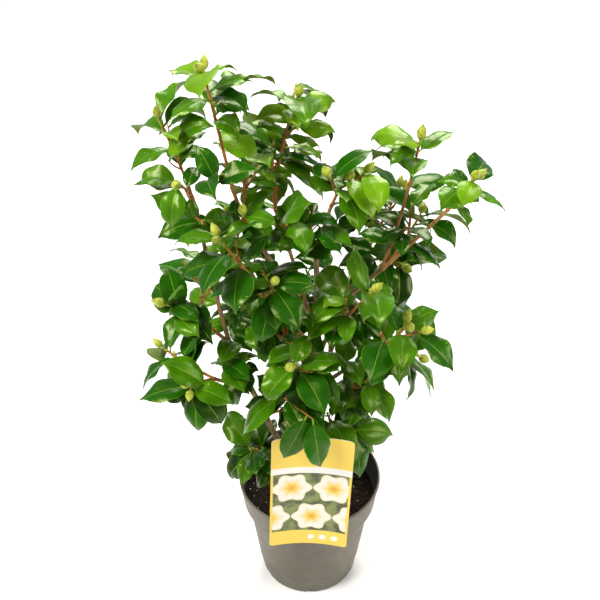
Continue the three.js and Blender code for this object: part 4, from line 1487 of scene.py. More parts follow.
@dataclass
class LeafForm:
    """A camellia leaf's form: a short stalk and a pointed, toothed blade that is folded, cupped and arched."""

    upper: tuple[float, ...] = (-1, -0.965, -0.64, -0.32, -0.024, 0.024, 0.32, 0.64, 0.965, 1)
    under: tuple[float, ...] = (0.6, 0.06, -0.06, -0.6)
    blade_rows: int = 20
    stalk_share: float = 0.11
    stalk_width: float = 1.9
    stalk_depth: float = 1.5
    blade_width: float = 0.97  # as a share of the solid leaf's
    blade_depth: float = 0.6
    tooth: float = 0.012
    groove: float = 0.35
    veins: float = 6.0  # pairs of side veins
    quilting: float = 0.5

    @property
    def corners(self) -> int:
        """How many corners a ring round the blade has."""
        return len(self.upper) + len(self.under)

    def outline(self, share: Array) -> Array:
        """Half the blade's width as a share of its widest: sin(pi s^0.82)^0.8, drawn to a point at the tip."""
        s = np.clip((share - self.stalk_share) / (1 - self.stalk_share), 0, 1)
        return np.sin(np.pi * s**0.82) ** 0.8 * (1 - 0.62 * smooth_step(s, 0.7, 0.95))

    def rows(self) -> Array:
        """Shares of the way along a leaf at which it has a ring."""
        blade = np.linspace(self.stalk_share, 1, self.blade_rows + 1)[1:]
        return np.concatenate([[0, 0.045, self.stalk_share], blade])

    def rings(self, leaves: Sequence[Leaf]) -> Array:
        """The rings of many leaves, as leaves x rows x corners x 3.

        The midrib turns by arch s plus a curl that comes in over the last third, and its steps are added up. A
        corner lies at half-width times u to the side and at half-width (fold |u| - cup u^2) above the midrib,
        with waves along the edge, quilting between the side veins and the blade's depth taken off underneath.

        Args:
            leaves: The leaves.

        Returns:
            The points.
        """
        s = self.rows()
        u = np.array(self.upper + self.under)
        below = np.repeat([0.0, 1.0], [len(self.upper), len(self.under)])
        fold_chance, cup_chance, twist_chance, wave_chance, phase, curl_chance, _ = np.array(
            [leaf.traits for leaf in leaves]
        ).T[..., None]
        arch, length, width, root, heading, face, side = (
            np.array([getattr(leaf, name) for leaf in leaves])[:, None]
            for name in ("arch", "length", "width", "shown_root", "heading", "face", "side")
        )
        turn = arch * s + blend(0.1, 1.5, curl_chance) * np.clip((s - 0.68) / 0.32, 0, 1) ** 2
        middle = (turn[:, 1:] + turn[:, :-1]) / 2
        step = length * np.diff(s)
        ahead = np.pad(np.cumsum(np.cos(middle) * step, axis=1), ((0, 0), (1, 0)))[..., None]
        down = np.pad(np.cumsum(np.sin(middle) * step, axis=1), ((0, 0), (1, 0)))[..., None]
        centre = root + heading * ahead - face * down
        up = heading * np.sin(turn)[..., None] + face * np.cos(turn)[..., None]
        roll = (blend(-0.75, 0.75, twist_chance) * s)[..., None]
        across = side * np.cos(roll) + up * np.sin(roll)
        lift = up * np.cos(roll) - side * np.sin(roll)

        teeth = 1 + self.tooth * np.where(np.arange(len(s)) % 2, 1, -1) * (s > 0.16)
        half = np.maximum(width / 2 * self.blade_width * self.outline(s) * teeth, 0.12)
        on_stalk = 1 - smooth_step(s, self.stalk_share * 0.8, self.stalk_share * 1.7)
        half = np.maximum(half, self.stalk_width / 2 * on_stalk)
        depth = blend(self.blade_depth, self.stalk_depth, on_stalk) * (1 - 0.6 * smooth_step(s, 0.85, 1))

        size = np.abs(u)
        fold = blend(0.12, 0.75, fold_chance)[..., None] * size
        cup = blend(0.1, 0.7, cup_chance)[..., None] * size**2
        height = half[..., None] * (fold - cup) * (1 - on_stalk)[..., None]
        wave = blend(0.5, 2.6, wave_chance) * np.sin(2 * np.pi * (2.4 * s + phase)) * np.sin(np.pi * s)
        height = height + wave[..., None] * size**2 * np.sign(u)
        vein = np.cos(2 * np.pi * (self.veins * s[:, None] - 1.3 * size)) * np.sin(np.pi * size)
        is_rib = (size < 0.1) & (below == 0)
        height = height + self.quilting * vein * (1 - on_stalk)[:, None] * (below == 0)
        height = height - self.groove * is_rib * (1 - on_stalk)[:, None]
        height = height - depth[:, None] * below * (1 + 0.5 * (size < 0.1))
        sideways = half[..., None] * u
        beside = centre[:, :, None] + across[:, :, None] * sideways[..., None]
        return beside + lift[:, :, None] * height[..., None]

    def shape(self, leaves: Sequence[Leaf], tints: Array) -> Shape:
        """Many leaves as one shape.

        Args:
            leaves: The leaves.
            tints: The number of each leaf's tint.

        Returns:
            The shape, whose finishes are the tints and then the leaf's parts.
        """
        rings = self.rings(leaves)
        count, rows, corners = rings.shape[:3]
        column_finish = np.full(corners, -1)
        upper = len(self.upper)
        column_finish[[0, upper - 2]] = LeafPart.MARGIN.value
        column_finish[upper // 2 - 1] = LeafPart.RIB.value
        column_finish[upper - 1 :] = LeafPart.UNDERSIDE.value
        column_finish[upper + 1] = LeafPart.RIB.value
        finish = np.broadcast_to(column_finish, (count, rows - 1, corners)).copy()
        finish[:, :2] = LeafPart.RIB.value
        finish = np.where(finish < 0, tints[:, None, None], finish)
        quads = ring_faces(rows, corners, inward=True)
        starts = np.arange(count)[:, None, None] * rows * corners
        caps = np.stack([np.arange(corners), (rows - 1) * corners + np.arange(corners)[::-1]])
        return Shape(
            rings.reshape(-1, 3),
            [(quads + starts).reshape(-1, 4), (caps + starts).reshape(-1, corners)],
            [finish.reshape(-1), np.full(2 * count, LeafPart.RIB.value)],
        )


@dataclass
class BudForm:
    """A pointed bud of overlapping scales on a short stalk."""

    length: float = 17.5
    radius: float = 5.0
    stalk: float = 4.0
    sides: int = 20
    rows: int = 24
    tiers: float = 2.6  # of scales from foot to tip
    lip: float = 0.1  # how far a scale's edge stands out, as a share of the radius

    def shape(self, bud: Bud) -> Shape:
        """One bud: its radius is R sin(pi s^0.74)^0.85, stepped where each tier of scales laps over the next.

        Args:
            bud: The bud.

        Returns:
            A tube with a finish for scales, tip and scale edges.
        """
        share = np.linspace(0, 1, self.rows)
        radius = self.radius * np.sin(np.pi * np.clip(share, 0.03, 0.985) ** 0.74) ** 0.85
        radius = radius * (1 - 0.3 * smooth_step(share, 0.62, 1.0))
        angles = angles_round(self.sides)
        tier = self.tiers * share[:, None] + 0 * angles
        scallop = 0.42 * np.abs(np.cos(1.5 * angles + 0.7 * np.floor(tier)))
        lap = (tier - scallop) % 1.0
        radii = radius[:, None] * (1 + self.lip * (lap - 0.5)) * bud.scale
        along = np.concatenate([[0, self.stalk * 0.85], self.stalk + share * self.length]) * bud.scale
        stalk = np.full((2, self.sides), 1.4 * bud.scale)
        path = bud.root + bud.heading * along[:, None]
        headings = np.broadcast_to(bud.heading, path.shape)
        rings = swept_rings(path, headings, np.concatenate([stalk, radii]), self.sides)
        finish = np.zeros((len(rings) - 1, self.sides), int)
        finish[2:][share[:-1] > 0.9] = 1
        finish[2:][(lap[:-1] > 0.88) & (share[:-1, None] < 0.86)] = 2
        return tube_shape(rings, finish)


@dataclass
class TwigForm:
    """A young twig: a smooth tapering rod that swells a little at each leaf."""

    sides: int = 8
    pitch: float = 5.0  # between rings
    slimness: float = 0.84  # as a share of the solid twig's radius
    green_share: float = 0.9  # where the red-brown skin gives way to green

    def shape(self, twig: Twig) -> Shape:
        """One twig: r = taper (1 + 0.1 cos(2 pi d / 14 mm)) with a round end.

        Args:
            twig: The twig.

        Returns:
            A tube, red-brown and then green.
        """
        length = twig.route.length()
        share = np.linspace(0, 1, max(int(length / self.pitch), 4) + 1)
        radii = blend(twig.radii[0], twig.radii[1], share) * self.slimness
        radii = radii * (1 + 0.1 * np.cos(2 * np.pi * share * length / 14))
        radii = radii * (1 + 0.35 * np.exp(-share * length / 3))
        radii[-1] *= 0.6
        path, headings = twig.route.at(share), twig.route.heading(share)
        rings = swept_rings(path, headings, radii, self.sides)
        is_green = (share[:-1] > self.green_share)[:, None].astype(int)
        finish = np.broadcast_to(is_green, (len(share) - 1, self.sides))
        return tube_shape(rings, finish)


@dataclass
class Foliage:
    """The plant's leaves, twigs and buds, joined by kind."""

    sprays: list[Spray]
    sectors: tuple[tuple[str, float, float], ...] = (
        ("left", 150, 215),
        ("front_left", 215, 285),
        ("right", 285, 385),
        ("rear", 25, 95),
        ("rear_left", 95, 150),
    )
    axil_bud_share: float = 0.35
    axil_bud_scale: float = 0.36
    gloss: Pair = (0.28, 0.3)  # the roughness of a leaf's face, and its wax
    tint_steps: tuple[float, ...] = (0.75, 1.35, 1.95, 2.5)

    def skins(self) -> list[Material]:
        """The leaf finishes, tints first."""
        tints = [LeafSkin(f"leaf_{tint.name.lower()}", tint.value, *self.gloss).material() for tint in LeafTint]
        rib = LeafSkin("leaf_rib", srgb(116, 150, 46), 0.4)
        margin = LeafSkin("leaf_margin", srgb(84, 124, 22), 0.4)
        underside = LeafSkin("leaf_underside", srgb(112, 138, 48), 0.5)
        return tints + [part.material() for part in (rib, margin, underside)]

    def tint_of(self, leaf: Leaf) -> int:
        """A leaf's tint: each spray leans to its own, leaves near a shoot's tip are younger, and leaves lower in
        the crown lean to the deeper tints, down to the painted-shade one.

        Args:
            leaf: The leaf.

        Returns:
            The tint's number.
        """
        seed = MASSES[leaf.mass].seed
        lean = chance(seed, 77, leaf.mass, 1)
        # leaves lower down take deeper tints, towards the painted-shade green
        height = (leaf.root[2] - 300) / 450
        age = 0.9 * lean + 0.9 * leaf.traits[6] + 0.5 * height + 0.45 * max(leaf.age - 0.75, 0) * 4
        return int(np.searchsorted(self.tint_steps, age))

    def add_leaves(self) -> None:
        """Makes the leaves, in one piece for each side of the crown."""
        form, skins = LeafForm(), self.skins()
        creases = (form.corners, (0, len(form.upper) - 1))
        for name, start, end in self.sectors:
            chosen = [spray for spray in self.sprays if self.faces(spray, start, end)]
            leaves = [leaf for spray in chosen for leaf in spray.leaves]
            tints = np.array([self.tint_of(leaf) for leaf in leaves])
            nodes = [MASSES[spray.mass].name for spray in chosen]
            add_piece(f"leaves_{name}", form.shape(leaves, tints), skins, nodes, creases)
            LOG.info("leaves_%s: %d leaves", name, len(leaves))

    def faces(self, spray: Spray, start: float, end: float) -> bool:
        """True where a spray's tip points between two directions round the pot."""
        azimuth = math.degrees(math.atan2(spray.stem.tip[1], spray.stem.tip[0])) % 360
        return start <= azimuth < end or start <= azimuth + 360 < end

    def add_twigs(self) -> None:
        """Makes the twigs as one piece, red-brown with green tips."""
        form = TwigForm()
        brown = Bark("twig_skin", srgb(110, 58, 20), srgb(168, 102, 40), srgb(198, 140, 72), 0.12, 0.6)
        green = Bark("twig_tip_skin", srgb(124, 132, 36), srgb(152, 164, 56), srgb(176, 180, 80), 0.08, 0.55)
        shape = Shape.joined([form.shape(twig) for spray in self.sprays for twig in spray.twigs])
        add_piece("twigs", shape, [brown.material(), green.material()])

    def axil_buds(self) -> list[Bud]:
        """Small leaf buds in some of the leaves' axils."""
        buds = []
        for spray in self.sprays:
            for number, leaf in enumerate(spray.leaves):
                if chance(spray.seed, 60, number, 3) < self.axil_bud_share:
                    heading = unit(leaf.heading * 0.5 + leaf.face)
                    buds.append(Bud(leaf.shown_root + leaf.heading * 0.8, heading, self.axil_bud_scale))
        return buds

    def add_buds(self) -> None:
        """Makes the flower buds and the small leaf buds."""
        scales = [
            BudScale("bud_scales", srgb(142, 162, 26), srgb(192, 198, 62)),
            BudScale("bud_tips", srgb(150, 122, 44), srgb(192, 180, 74)),
            BudScale("bud_scale_edges", srgb(104, 112, 26), srgb(140, 132, 46)),
        ]
        skins = [scale.material() for scale in scales]
        flower = Shape.joined([BudForm().shape(bud) for spray in self.sprays for bud in spray.buds])
        add_piece("flower_buds", flower, skins)
        small = BudForm(sides=8, rows=8)
        add_piece("leaf_buds", Shape.joined([small.shape(bud) for bud in self.axil_buds()]), skins)


# ---- Trunk and boughs ----


@dataclass
class Woodwork:
    """The trunk, stems and boughs, each one a limb with bark relief."""

    crown: Crown
    ring_pitch: float = 3.2
    flare: float = 1.6
    flare_height: float = 14.0
    relief: float = 0.09  # of the bark, as a share of the radius
    scar_pitch: float = 27.0  # between old leaf scars
    scar_height: float = 0.13  # as a share of the radius
    collar: Pair = (0.45, 5.0)  # how a bough swells at its foot, and over what length
    stout: float = 4.0  # the least foot radius of a limb with old bark
    slender: float = 2.6  # the greatest of one with young bark

    def skin_noise(self, along: Array, sides: int, reach: float, pitch: float, shift: float, seed: int) -> Array:
        """Noise on a limb's skin, taken on a tube so wide in cells and with so many millimetres to a cell.

        Args:
            along: The rings' ways from the limb's foot.
            sides: How many points a ring has.
            reach: The tube's radius in cells.
            pitch: How long a cell is.
            shift: What tells one limb from another.
            seed: Which noise it is.

        Returns:
            A value for each point of each ring.
        """
        angles = angles_round(sides)
        places = np.empty((len(along), sides, 3))
        places[..., :2] = np.stack([np.cos(angles), np.sin(angles)], axis=-1) * reach
        places[..., 2] = (along / pitch)[:, None]
        return noise(places + shift, seed)

    def limb_shape(self, limb: Limb, number: int) -> Shape:
        """One limb: r = taper x flare x (1 + ridges along it + crumbled bark + a swelling at each old scar).

        Args:
            limb: The limb.
            number: Its place in LIMBS.

        Returns:
            A closed tube.
        """
        route = self.crown.routes[limb.name]
        length = route.length()
        sides = 20 if limb.radii[0] > self.stout else 14
        share = np.linspace(0, 1, int(length / self.ring_pitch) + 1)
        along = share * length
        radii = blend(limb.radii[0], limb.radii[1], share)
        if limb.bearer is None:
            radii = radii * (1 + (self.flare - 1) * np.maximum(0, 1 - along / self.flare_height) ** 2)
        else:
            radii = radii * (1 + self.collar[0] * np.exp(-along / self.collar[1]))
        ridges = self.skin_noise(along, sides, 2.2, 11, 7.3 * number, 11)
        crumbs = self.skin_noise(along, sides, 4.5, 3.5, 3.1 * number, 23)
        scars = np.exp(-(((along + 9 * number) % self.scar_pitch - self.scar_pitch / 2) ** 2) / 5)
        bark = 1 + self.relief * (ridges + 0.5 * crumbs) + self.scar_height * scars[:, None]
        rings = swept_rings(route.at(share), route.heading(share), radii[:, None] * bark, sides)
        return tube_shape(rings)

    def build(self) -> None:
        """Makes every limb as a piece of its own."""
        barks = (
            Bark("old_bark", srgb(88, 72, 50), srgb(150, 128, 94), srgb(188, 166, 130), 0.5, 0.85),
            Bark("bough_bark", srgb(86, 62, 40), srgb(138, 108, 72), srgb(174, 146, 106), 0.3, 0.75),
            Bark("young_bark", srgb(96, 60, 28), srgb(152, 104, 54), srgb(186, 142, 86), 0.2, 0.65),
        )
        old, middle, young = [bark.material() for bark in barks]
        for number, limb in enumerate(LIMBS):
            foot_radius = limb.radii[0]
            skin = old if foot_radius > self.stout else middle if foot_radius > self.slender else young
            add_piece(f"{limb.name}_bark", self.limb_shape(limb, number), [skin], [limb.name])


# ---- Pot, soil and label ----


@dataclass
class Pot:
    """The nursery pot: a thin tapering wall with a wide band under its rim, a foot ring and drainage slots."""

    height: float = 172.0
    rim_radius: float = 95.0
    collar_height: float = 42.0
    collar_foot_radius: float = 90.6
    body_top_radius: float = 84.3
    band_height: float = 30.0
    band_step: float = 0.8
    base_radius: float = 66.5
    foot_radius: float = 63.5
    wall: float = 2.0
    floor: float = 3.0
    lip: float = 1.2
    sides: int = 128
    slots: int = 6
    slot_size: Triple = (16.0, 12.0, 7.0)

    def outside(self) -> Array:
        """The outer profile from the middle of the underside to the top of the rim."""
        body_top = self.height - self.collar_height
        taper = (self.body_top_radius - self.base_radius) / body_top
        band_radius = self.base_radius + taper * self.band_height
        rim = self.rim_radius + self.lip
        return np.array(
            [
                (0, 1.2),
                (self.foot_radius - 9, 1.2),
                (self.foot_radius - 7.5, 0),
                (self.foot_radius, 0),
                (self.foot_radius + 1.4, 0.5),
                (self.base_radius - 0.5, 1.7),
                (self.base_radius, 3.2),
                (band_radius, self.band_height - 0.6),
                (band_radius + self.band_step * 0.8, self.band_height + 0.4),
                (band_radius + self.band_step, self.band_height + 1.4),
                (self.body_top_radius - 0.2, body_top - 2),
                (self.body_top_radius + 0.5, body_top - 0.6),
                (self.collar_foot_radius - 1.6, body_top + 0.1),
                (self.collar_foot_radius - 0.4, body_top + 0.7),
                (self.collar_foot_radius, body_top + 2),
                (self.rim_radius - 0.1, self.height - 5),
                (self.rim_radius + 0.5, self.height - 4.2),
                (rim - 0.1, self.height - 3.2),
                (rim, self.height - 2),
                (rim - 0.2, self.height - 0.7),
                (rim - 0.9, self.height),
            ]
        )

    def inside(self) -> Array:
        """The inner profile from the top of the rim to the middle of the floor."""
        body_top = self.height - self.collar_height
        return np.array(
            [
                (self.rim_radius - self.wall + 0.8, self.height),
                (self.rim_radius - self.wall, self.height - 0.8),
                (self.collar_foot_radius - self.wall, body_top + 2.5),
                (self.body_top_radius - self.wall, body_top),
                (self.base_radius - self.wall + 0.4, self.floor + 1),
                (self.base_radius - self.wall - 1, self.floor),
                (0, self.floor),
            ]
        )

    def cut_slots(self, piece: bpy.types.Object) -> None:
        """Cuts the drainage slots through the floor's edge.

        Args:
            piece: The pot's object.
        """
        length, width, height = (size * MM for size in self.slot_size)
        cutters = []
        for i in range(self.slots):
            turn = (i + 0.5) / self.slots * 2 * math.pi
            bpy.ops.mesh.primitive_cube_add(size=1)
            cutter = bpy.context.object
            cutter.scale = (length, width, height)
            cutter.rotation_euler = (0, 0, turn)
            reach = self.foot_radius * MM
            cutter.location = (reach * math.cos(turn), reach * math.sin(turn), height / 2 - MM)
            cut = piece.modifiers.new(f"slot_{i}", "BOOLEAN")
            cut.operation, cut.object, cut.solver = "DIFFERENCE", cutter, "EXACT"
            cutters.append(cutter)
        bpy.context.view_layer.update()
        cut_mesh = bpy.data.meshes.new_from_object(piece.evaluated_get(bpy.context.evaluated_depsgraph_get()))
        spare = [piece.data] + [cutter.data for cutter in cutters]
        piece.modifiers.clear()
        piece.data = cut_mesh
        for cutter in cutters:
            bpy.data.objects.remove(cutter)
        for mesh in spare:
            bpy.data.meshes.remove(mesh)

    def build(self) -> None:
        """Makes the pot."""
        outside, inside = self.outside(), self.inside()
        finish = np.array([0] * (len(outside)) + [1] * (len(inside) - 1))
        outer = PotPlastic("pot_plastic", srgb(101, 96, 80), srgb(90, 85, 70))
        # The inside wall is the same plastic in darker tones: painted shade for the shadowed inside of the pot.
        painted_shade_inner = PotPlastic("pot_plastic_painted_shade", srgb(48, 45, 38), srgb(34, 32, 27), 0.6)
        shape = turned_shape(np.concatenate([outside, inside]), self.sides, finish)
        piece = add_piece("nursery_pot", shape, [outer.material(), painted_shade_inner.material()], ["pot"])
        self.cut_slots(piece)


@dataclass
class Soil:
    """The potting soil: a crumbly mound with fibres, chips and white specks on it."""

    edge_height: float = 136.0
    crown_height: float = 141.0
    edge_radius: float = 88.2
    base_radius: float = 64.0
    body_radius: float = 81.4
    body_top: float = 130.0
    floor: float = 3.4
    rings: int = 64
    sides: int = 144
    roughness: float = 2.0
    fibres: int = 420
    chips: int = 150
    specks: int = 70

    def height_at(self, places: Array) -> Array:
        """The mound's height at places in plan: a low crown, two sizes of clod and fine crumbs.

        Args:
            places: The places, as (x, y).

        Returns:
            A height for each.
        """
        reach = np.linalg.norm(places, axis=-1) / self.edge_radius
        mound = blend(self.crown_height, self.edge_height, np.clip(reach, 0, 1) ** 1.8) - self.roughness * 0.6
        flat = np.concatenate([places, np.zeros(places.shape[:-1] + (1,))], axis=-1)
        clods = noise(flat / 13, 3) + 0.6 * noise(flat / 5.5, 5) + 0.4 * noise(flat / 2.6, 9)
        return mound + self.roughness * clods

    def mound(self) -> Shape:
        """The body of soil: a solid of revolution whose top is raised to height_at."""
        radii = np.linspace(self.edge_radius, 0, self.rings + 1)
        top = np.stack([radii, np.full(len(radii), self.edge_height)], axis=-1)
        foot = [(0, self.floor), (self.base_radius, self.floor), (self.body_radius, self.body_top - 2)]
        profile = np.concatenate([np.array(foot, float), top])
        shape = turned_shape(profile, self.sides)
        on_top = shape.vertices[:, 2] >= self.edge_height - 0.01
        places = shape.vertices[on_top]
        near_edge = smooth_step(np.linalg.norm(places[:, :2], axis=1), self.edge_radius - 5, self.edge_radius)
        heights = blend(self.height_at(places[:, :2]), self.edge_height, near_edge)
        shape.vertices[on_top, 2] = heights
        return shape

    def scattered(self, count: int, seed: int, reach: float) -> tuple[Array, Array]:
        """Places strewn evenly over the soil, sunk to its surface, with three chances each.

        Args:
            count: How many places.
            seed: Which strewing it is.
            reach: How far out they go.

        Returns:
            The places, and their chances.
        """
        random = np.random.default_rng(seed)
        radius, angle = reach * np.sqrt(random.uniform(0.02, 1, count)), random.uniform(0, 2 * np.pi, count)
        plan = np.stack([radius * np.cos(angle), radius * np.sin(angle)], axis=-1)
        points = np.concatenate([plan, self.height_at(plan)[:, None]], axis=-1)
        return points, random.uniform(0, 1, (count, 3))

    def fibre(self, point: Array, chances: Array) -> Shape:
        """One bent fibre that lies on the soil: a thin rod along a shallow arc.

        Args:
            point: Where it lies.
            chances: For its length, turn and bend.

        Returns:
            The fibre.
        """
        length, turn, bend = 5 + 13 * chances[0], 2 * np.pi * chances[1], 1.6 * (chances[2] - 0.5)
        share = np.linspace(-0.5, 0.5, 6)
        angle = turn + bend * share
        step = np.stack([np.cos(angle), np.sin(angle), 0.1 * np.sin(3 * share + turn)], axis=-1)
        lift = UP * (0.7 + 0.6 * chances[0] - 1.8 * share[:, None] ** 2)
        path = point + step * (share * length)[:, None] + lift
        radii = 0.34 * (1 - 0.8 * np.abs(share) * 2) + 0.1
        return tube_shape(swept_rings(path, unit(step), radii, 5))

    def lump(self, point: Array, chances: Array, size: float, flatness: float, seed: int) -> Shape:
        """One crumb: a ball flattened, turned and dented by noise.

        Args:
            point: Where it lies.
            chances: For its breadth, size and turn.
            size: Its middling radius.
            flatness: Its height as a share of its width.
            seed: What tells its dents from another's.

        Returns:
            The crumb.
        """
        polar, sides = np.linspace(0.12, np.pi - 0.12, 6), 7
        angles = angles_round(sides)
        ball = np.stack(
            [
                np.sin(polar)[:, None] * np.cos(angles),
                np.sin(polar)[:, None] * np.sin(angles),
                -np.cos(polar)[:, None] + 0 * angles,
            ],
            axis=-1,
        )
        ball = ball * (1 + 0.35 * noise(ball * 1.4 + seed, 31))[..., None]
        ball = ball * np.array([1 + 0.9 * chances[0], 0.8, flatness]) * size * (0.6 + 0.8 * chances[1])
        turn = 2 * np.pi * chances[2]
        spin = np.array(
            [[math.cos(turn), math.sin(turn), 0.2], [-math.sin(turn), math.cos(turn), 0.1], [0, -0.2, 1]]
        )
        return tube_shape(ball @ spin + point + UP * 0.25)

    def build(self) -> None:
        """Makes the soil and what lies on it."""
        add_piece("potting_soil", self.mound(), [PottingSoil().material()], ["soil"])
        reach = self.edge_radius - 6
        points, chances = self.scattered(self.fibres, 4, reach - 4)
        fibres = Shape.joined([self.fibre(point, roll) for point, roll in zip(points, chances)])
        brown = Crumb("soil_fibre", srgb(36, 25, 16), srgb(90, 64, 38))
        add_piece("soil_fibres", fibres, [brown.material()])
        wood = Crumb("soil_chip", srgb(27, 18, 11), srgb(70, 46, 28))
        white = Crumb("perlite", srgb(196, 190, 178), srgb(232, 228, 218))
        kinds = (
            ("soil_chips", self.chips, 8, 2.1, 0.45, wood),
            ("perlite_specks", self.specks, 15, 0.8, 0.8, white),
        )
        for name, count, seed, size, flatness, skin in kinds:
            strewn = enumerate(zip(*self.scattered(count, seed, reach)))
            lumps = Shape.joined([self.lump(point, roll, size, flatness, i) for i, (point, roll) in strewn])
            add_piece(name, lumps, [skin.material()])


@dataclass
class PlantLabel:
    """The printed card that hangs over the rim by a tongue pushed into the soil."""

    width: float = 100.0
    height: float = 190.0
    bottom: float = 143.0
    lean: float = 1.8
    thickness: float = 0.8
    curl: float = 7.0
    corner: float = 5.0
    front: float = -97.3
    tongue_width: float = 24.0
    tongue_inside: float = -75.3
    tongue_foot: float = 108.0
    bridge_height: float = 172.7
    columns: int = 28
    rows: int = 44

    def card(self) -> tuple[Shape, Array]:
        """The card and its print coordinates.

        Half its width at a distance d from its end is w/2 - c + sqrt(c^2 - (c - d)^2) within the corner's radius
        c, and its face lies at front - curl u^2, so that its long edges come forward.
        """
        ease = (1 - np.cos(np.linspace(0, np.pi, self.rows))) / 2
        up = blend(np.linspace(0, 1, self.rows), ease, 0.75) * self.height
        inset = np.clip(self.corner - np.minimum(up, self.height - up), 0, self.corner)
        half = self.width / 2 - self.corner + np.sqrt(self.corner**2 - inset**2)
        u = np.linspace(-1, 1, self.columns)
        around = np.concatenate([u, u[::-1]])
        is_back = np.concatenate([np.zeros(self.columns), np.ones(self.columns)])
        x = half[:, None] * around
        across = x / (self.width / 2)
        y = self.front - self.curl * across**2 + self.thickness * is_back
        z = np.broadcast_to((up - self.height / 2)[:, None], x.shape)
        turn = math.radians(self.lean)
        middle = self.bottom + self.height / 2
        level = x * math.cos(turn) + z * math.sin(turn)
        height = z * math.cos(turn) - x * math.sin(turn) + middle
        points = np.stack([level, y, height], axis=-1)
        finish = np.zeros((self.rows - 1, 2 * self.columns), int)
        finish[:, self.columns - 1 :] = 1
        uv = np.stack([(across + 1) / 2, np.broadcast_to((up / self.height)[:, None], x.shape)], axis=-1)
        return tube_shape(points, finish), uv.reshape(-1, 2)

    def tongue(self) -> Shape:
        """The tongue: a flat strip carried back over the rim and down into the soil on a rounded bend."""
        bend = np.linspace(0, np.pi / 2, 7)
        radius = 3.0
        y = np.concatenate([[self.front + 0.9], self.tongue_inside - radius + radius * np.sin(bend)])
        z = np.concatenate([[self.bridge_height], self.bridge_height - radius + radius * np.cos(bend)])
        y, z = np.append(y, self.tongue_inside), np.append(z, self.tongue_foot)
        centre = np.stack([np.zeros(len(y)), y, z], axis=-1)
        step = unit(np.gradient(centre, axis=0))
        above = np.cross(LEVEL[0], step)
        half, thin = self.tongue_width / 2, self.thickness / 2
        section = np.array([(-half, -thin), (half, -thin), (half, thin), (-half, thin)])
        rings = centre[:, None] + section[:, :1] * LEVEL[0] + section[None, :, 1:] * above[:, None]
        return tube_shape(rings, 1, inward=True)

    def build(self) -> None:
        """Makes the label."""
        card, uv = self.card()
        tongue = self.tongue()
        uv = np.concatenate([uv, np.zeros((len(tongue.vertices), 2))])
        plain = PotPlastic("card_back", srgb(226, 224, 214), srgb(216, 213, 200), 0.4)
        materials = [PrintedCard().material(), plain.material()]
        ring = 2 * self.columns
        piece = add_piece(
            "printed_label", Shape.joined([card, tongue]), materials, ["plant_label"],
            (ring, (0, self.columns - 1, self.columns, ring - 1)), uv,
        )
        crisp = piece.modifiers.new("crisp_edges", "EDGE_SPLIT")
        crisp.split_angle = math.radians(40)


# ---- Studio ----


@dataclass(frozen=True)
class Lamp:
    """A square soft light: its name, its place and size in metres and its power in watts."""

    name: str
    place: Triple
    size: float
    watts: float


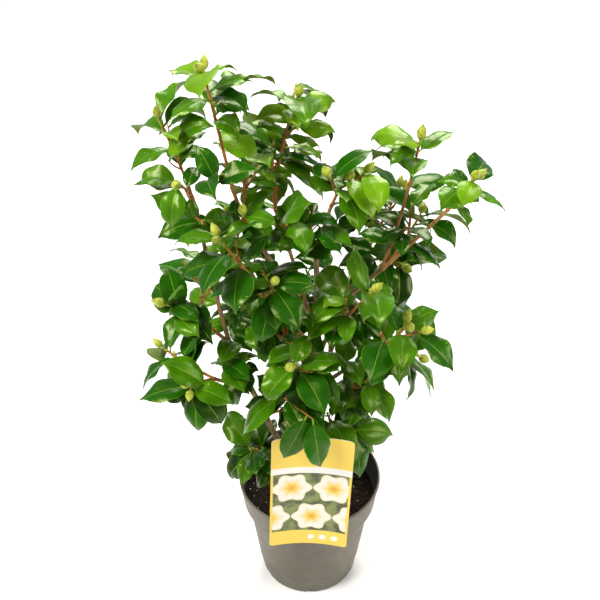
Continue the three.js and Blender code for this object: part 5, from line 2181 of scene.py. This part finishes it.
@dataclass
class Studio:
    """The camera, a white room of soft light and a pale floor."""

    lens: float = 60.0
    camera_place: Triple = (-13.0, -963.0, 1173.0)
    pitch: float = 36.3  # degrees below level
    sky: float = 0.33
    warmth: Triple = (1.0, 0.98, 0.93)
    floor_size: float = 24.0
    lit_height: float = 0.42  # what the lamps face
    lamps: tuple[Lamp, ...] = (
        Lamp("key_light", (-1.6, -1.0, 2.6), 1.1, 86),
        Lamp("side_light", (1.9, -0.7, 1.5), 1.2, 28),
        Lamp("back_light", (0.3, 1.9, 2.3), 1.6, 76),
    )

    def add_camera(self) -> None:
        """Puts the camera above the front of the plant."""
        camera = placed("camera", bpy.data.cameras.new("camera"))
        camera.data.lens = self.lens
        camera.data.clip_end = 60
        camera.location = tuple(size * MM for size in self.camera_place)
        camera.rotation_euler = (math.radians(90 - self.pitch), 0, 0)
        bpy.context.scene.camera = camera

    def add_lamp(self, lamp: Lamp) -> None:
        """Adds a lamp that faces the middle of the plant.

        Args:
            lamp: The lamp.
        """
        light = bpy.data.lights.new(lamp.name, "AREA")
        light.energy, light.size, light.color = lamp.watts, lamp.size, self.warmth
        piece = placed(lamp.name, light)
        piece.location = lamp.place
        aim = unit(UP * self.lit_height - np.array(lamp.place))
        piece.rotation_euler = (math.acos(-aim[2]), 0, math.atan2(-aim[0], aim[1]))

    def add_floor(self) -> None:
        """Lays a broad pale floor with a barely uneven matt finish."""
        steps = np.linspace(-self.floor_size / 2, self.floor_size / 2, 9) / MM
        x, y = np.meshgrid(steps, steps, indexing="ij")
        count = len(steps)
        corner = (np.arange(count - 1)[:, None] * count + np.arange(count - 1)).reshape(-1)
        faces = np.stack([corner, corner + count, corner + count + 1, corner + 1], axis=-1)
        mesh = bpy.data.meshes.new("floor")
        points = np.stack([x, y, np.zeros_like(x)], axis=-1).reshape(-1, 3) * MM
        mesh.from_pydata(points.tolist(), [], faces.tolist())
        floor = placed("floor", mesh)
        shader = Shader("pale_floor")
        whites = [(0.3, srgb(247, 247, 248)), (0.7, srgb(251, 251, 252))]
        shader.fix(Base_Color=shader.ramp(shader.grain(3, 2), whites))
        shader.fix(Roughness=0.9, Specular_IOR_Level=0.1)
        mesh.materials.append(shader.material)

    def build(self) -> None:
        """Sets the studio up."""
        scene = bpy.context.scene
        scene.view_settings.view_transform = "Standard"
        world = bpy.data.worlds.new("white_room")
        world.use_nodes = True
        background = world.node_tree.nodes["Background"]
        background.inputs["Color"].default_value = (*self.warmth, 1)
        background.inputs["Strength"].default_value = self.sky
        scene.world = world
        self.add_camera()
        for lamp in self.lamps:
            self.add_lamp(lamp)
        self.add_floor()


def write_sizes() -> None:
    """Brings the scene's view layer up to date."""
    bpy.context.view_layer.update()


def main() -> None:
    """Builds the studio, the pot and the plant in turn."""
    logging.basicConfig(level=logging.INFO, format="%(message)s")
    Studio().build()
    Pot().build()
    Soil().build()
    PlantLabel().build()
    crown = Crown()
    sprays = crown.grow()
    Woodwork(crown).build()
    foliage = Foliage(sprays)
    foliage.add_leaves()
    foliage.add_twigs()
    foliage.add_buds()
    write_sizes()
    leaves = sum(len(spray.leaves) for spray in sprays)
    buds = sum(len(spray.buds) for spray in sprays)
    LOG.info("%d leaves and %d flower buds", leaves, buds)


if __name__ == "__main__":
    main()
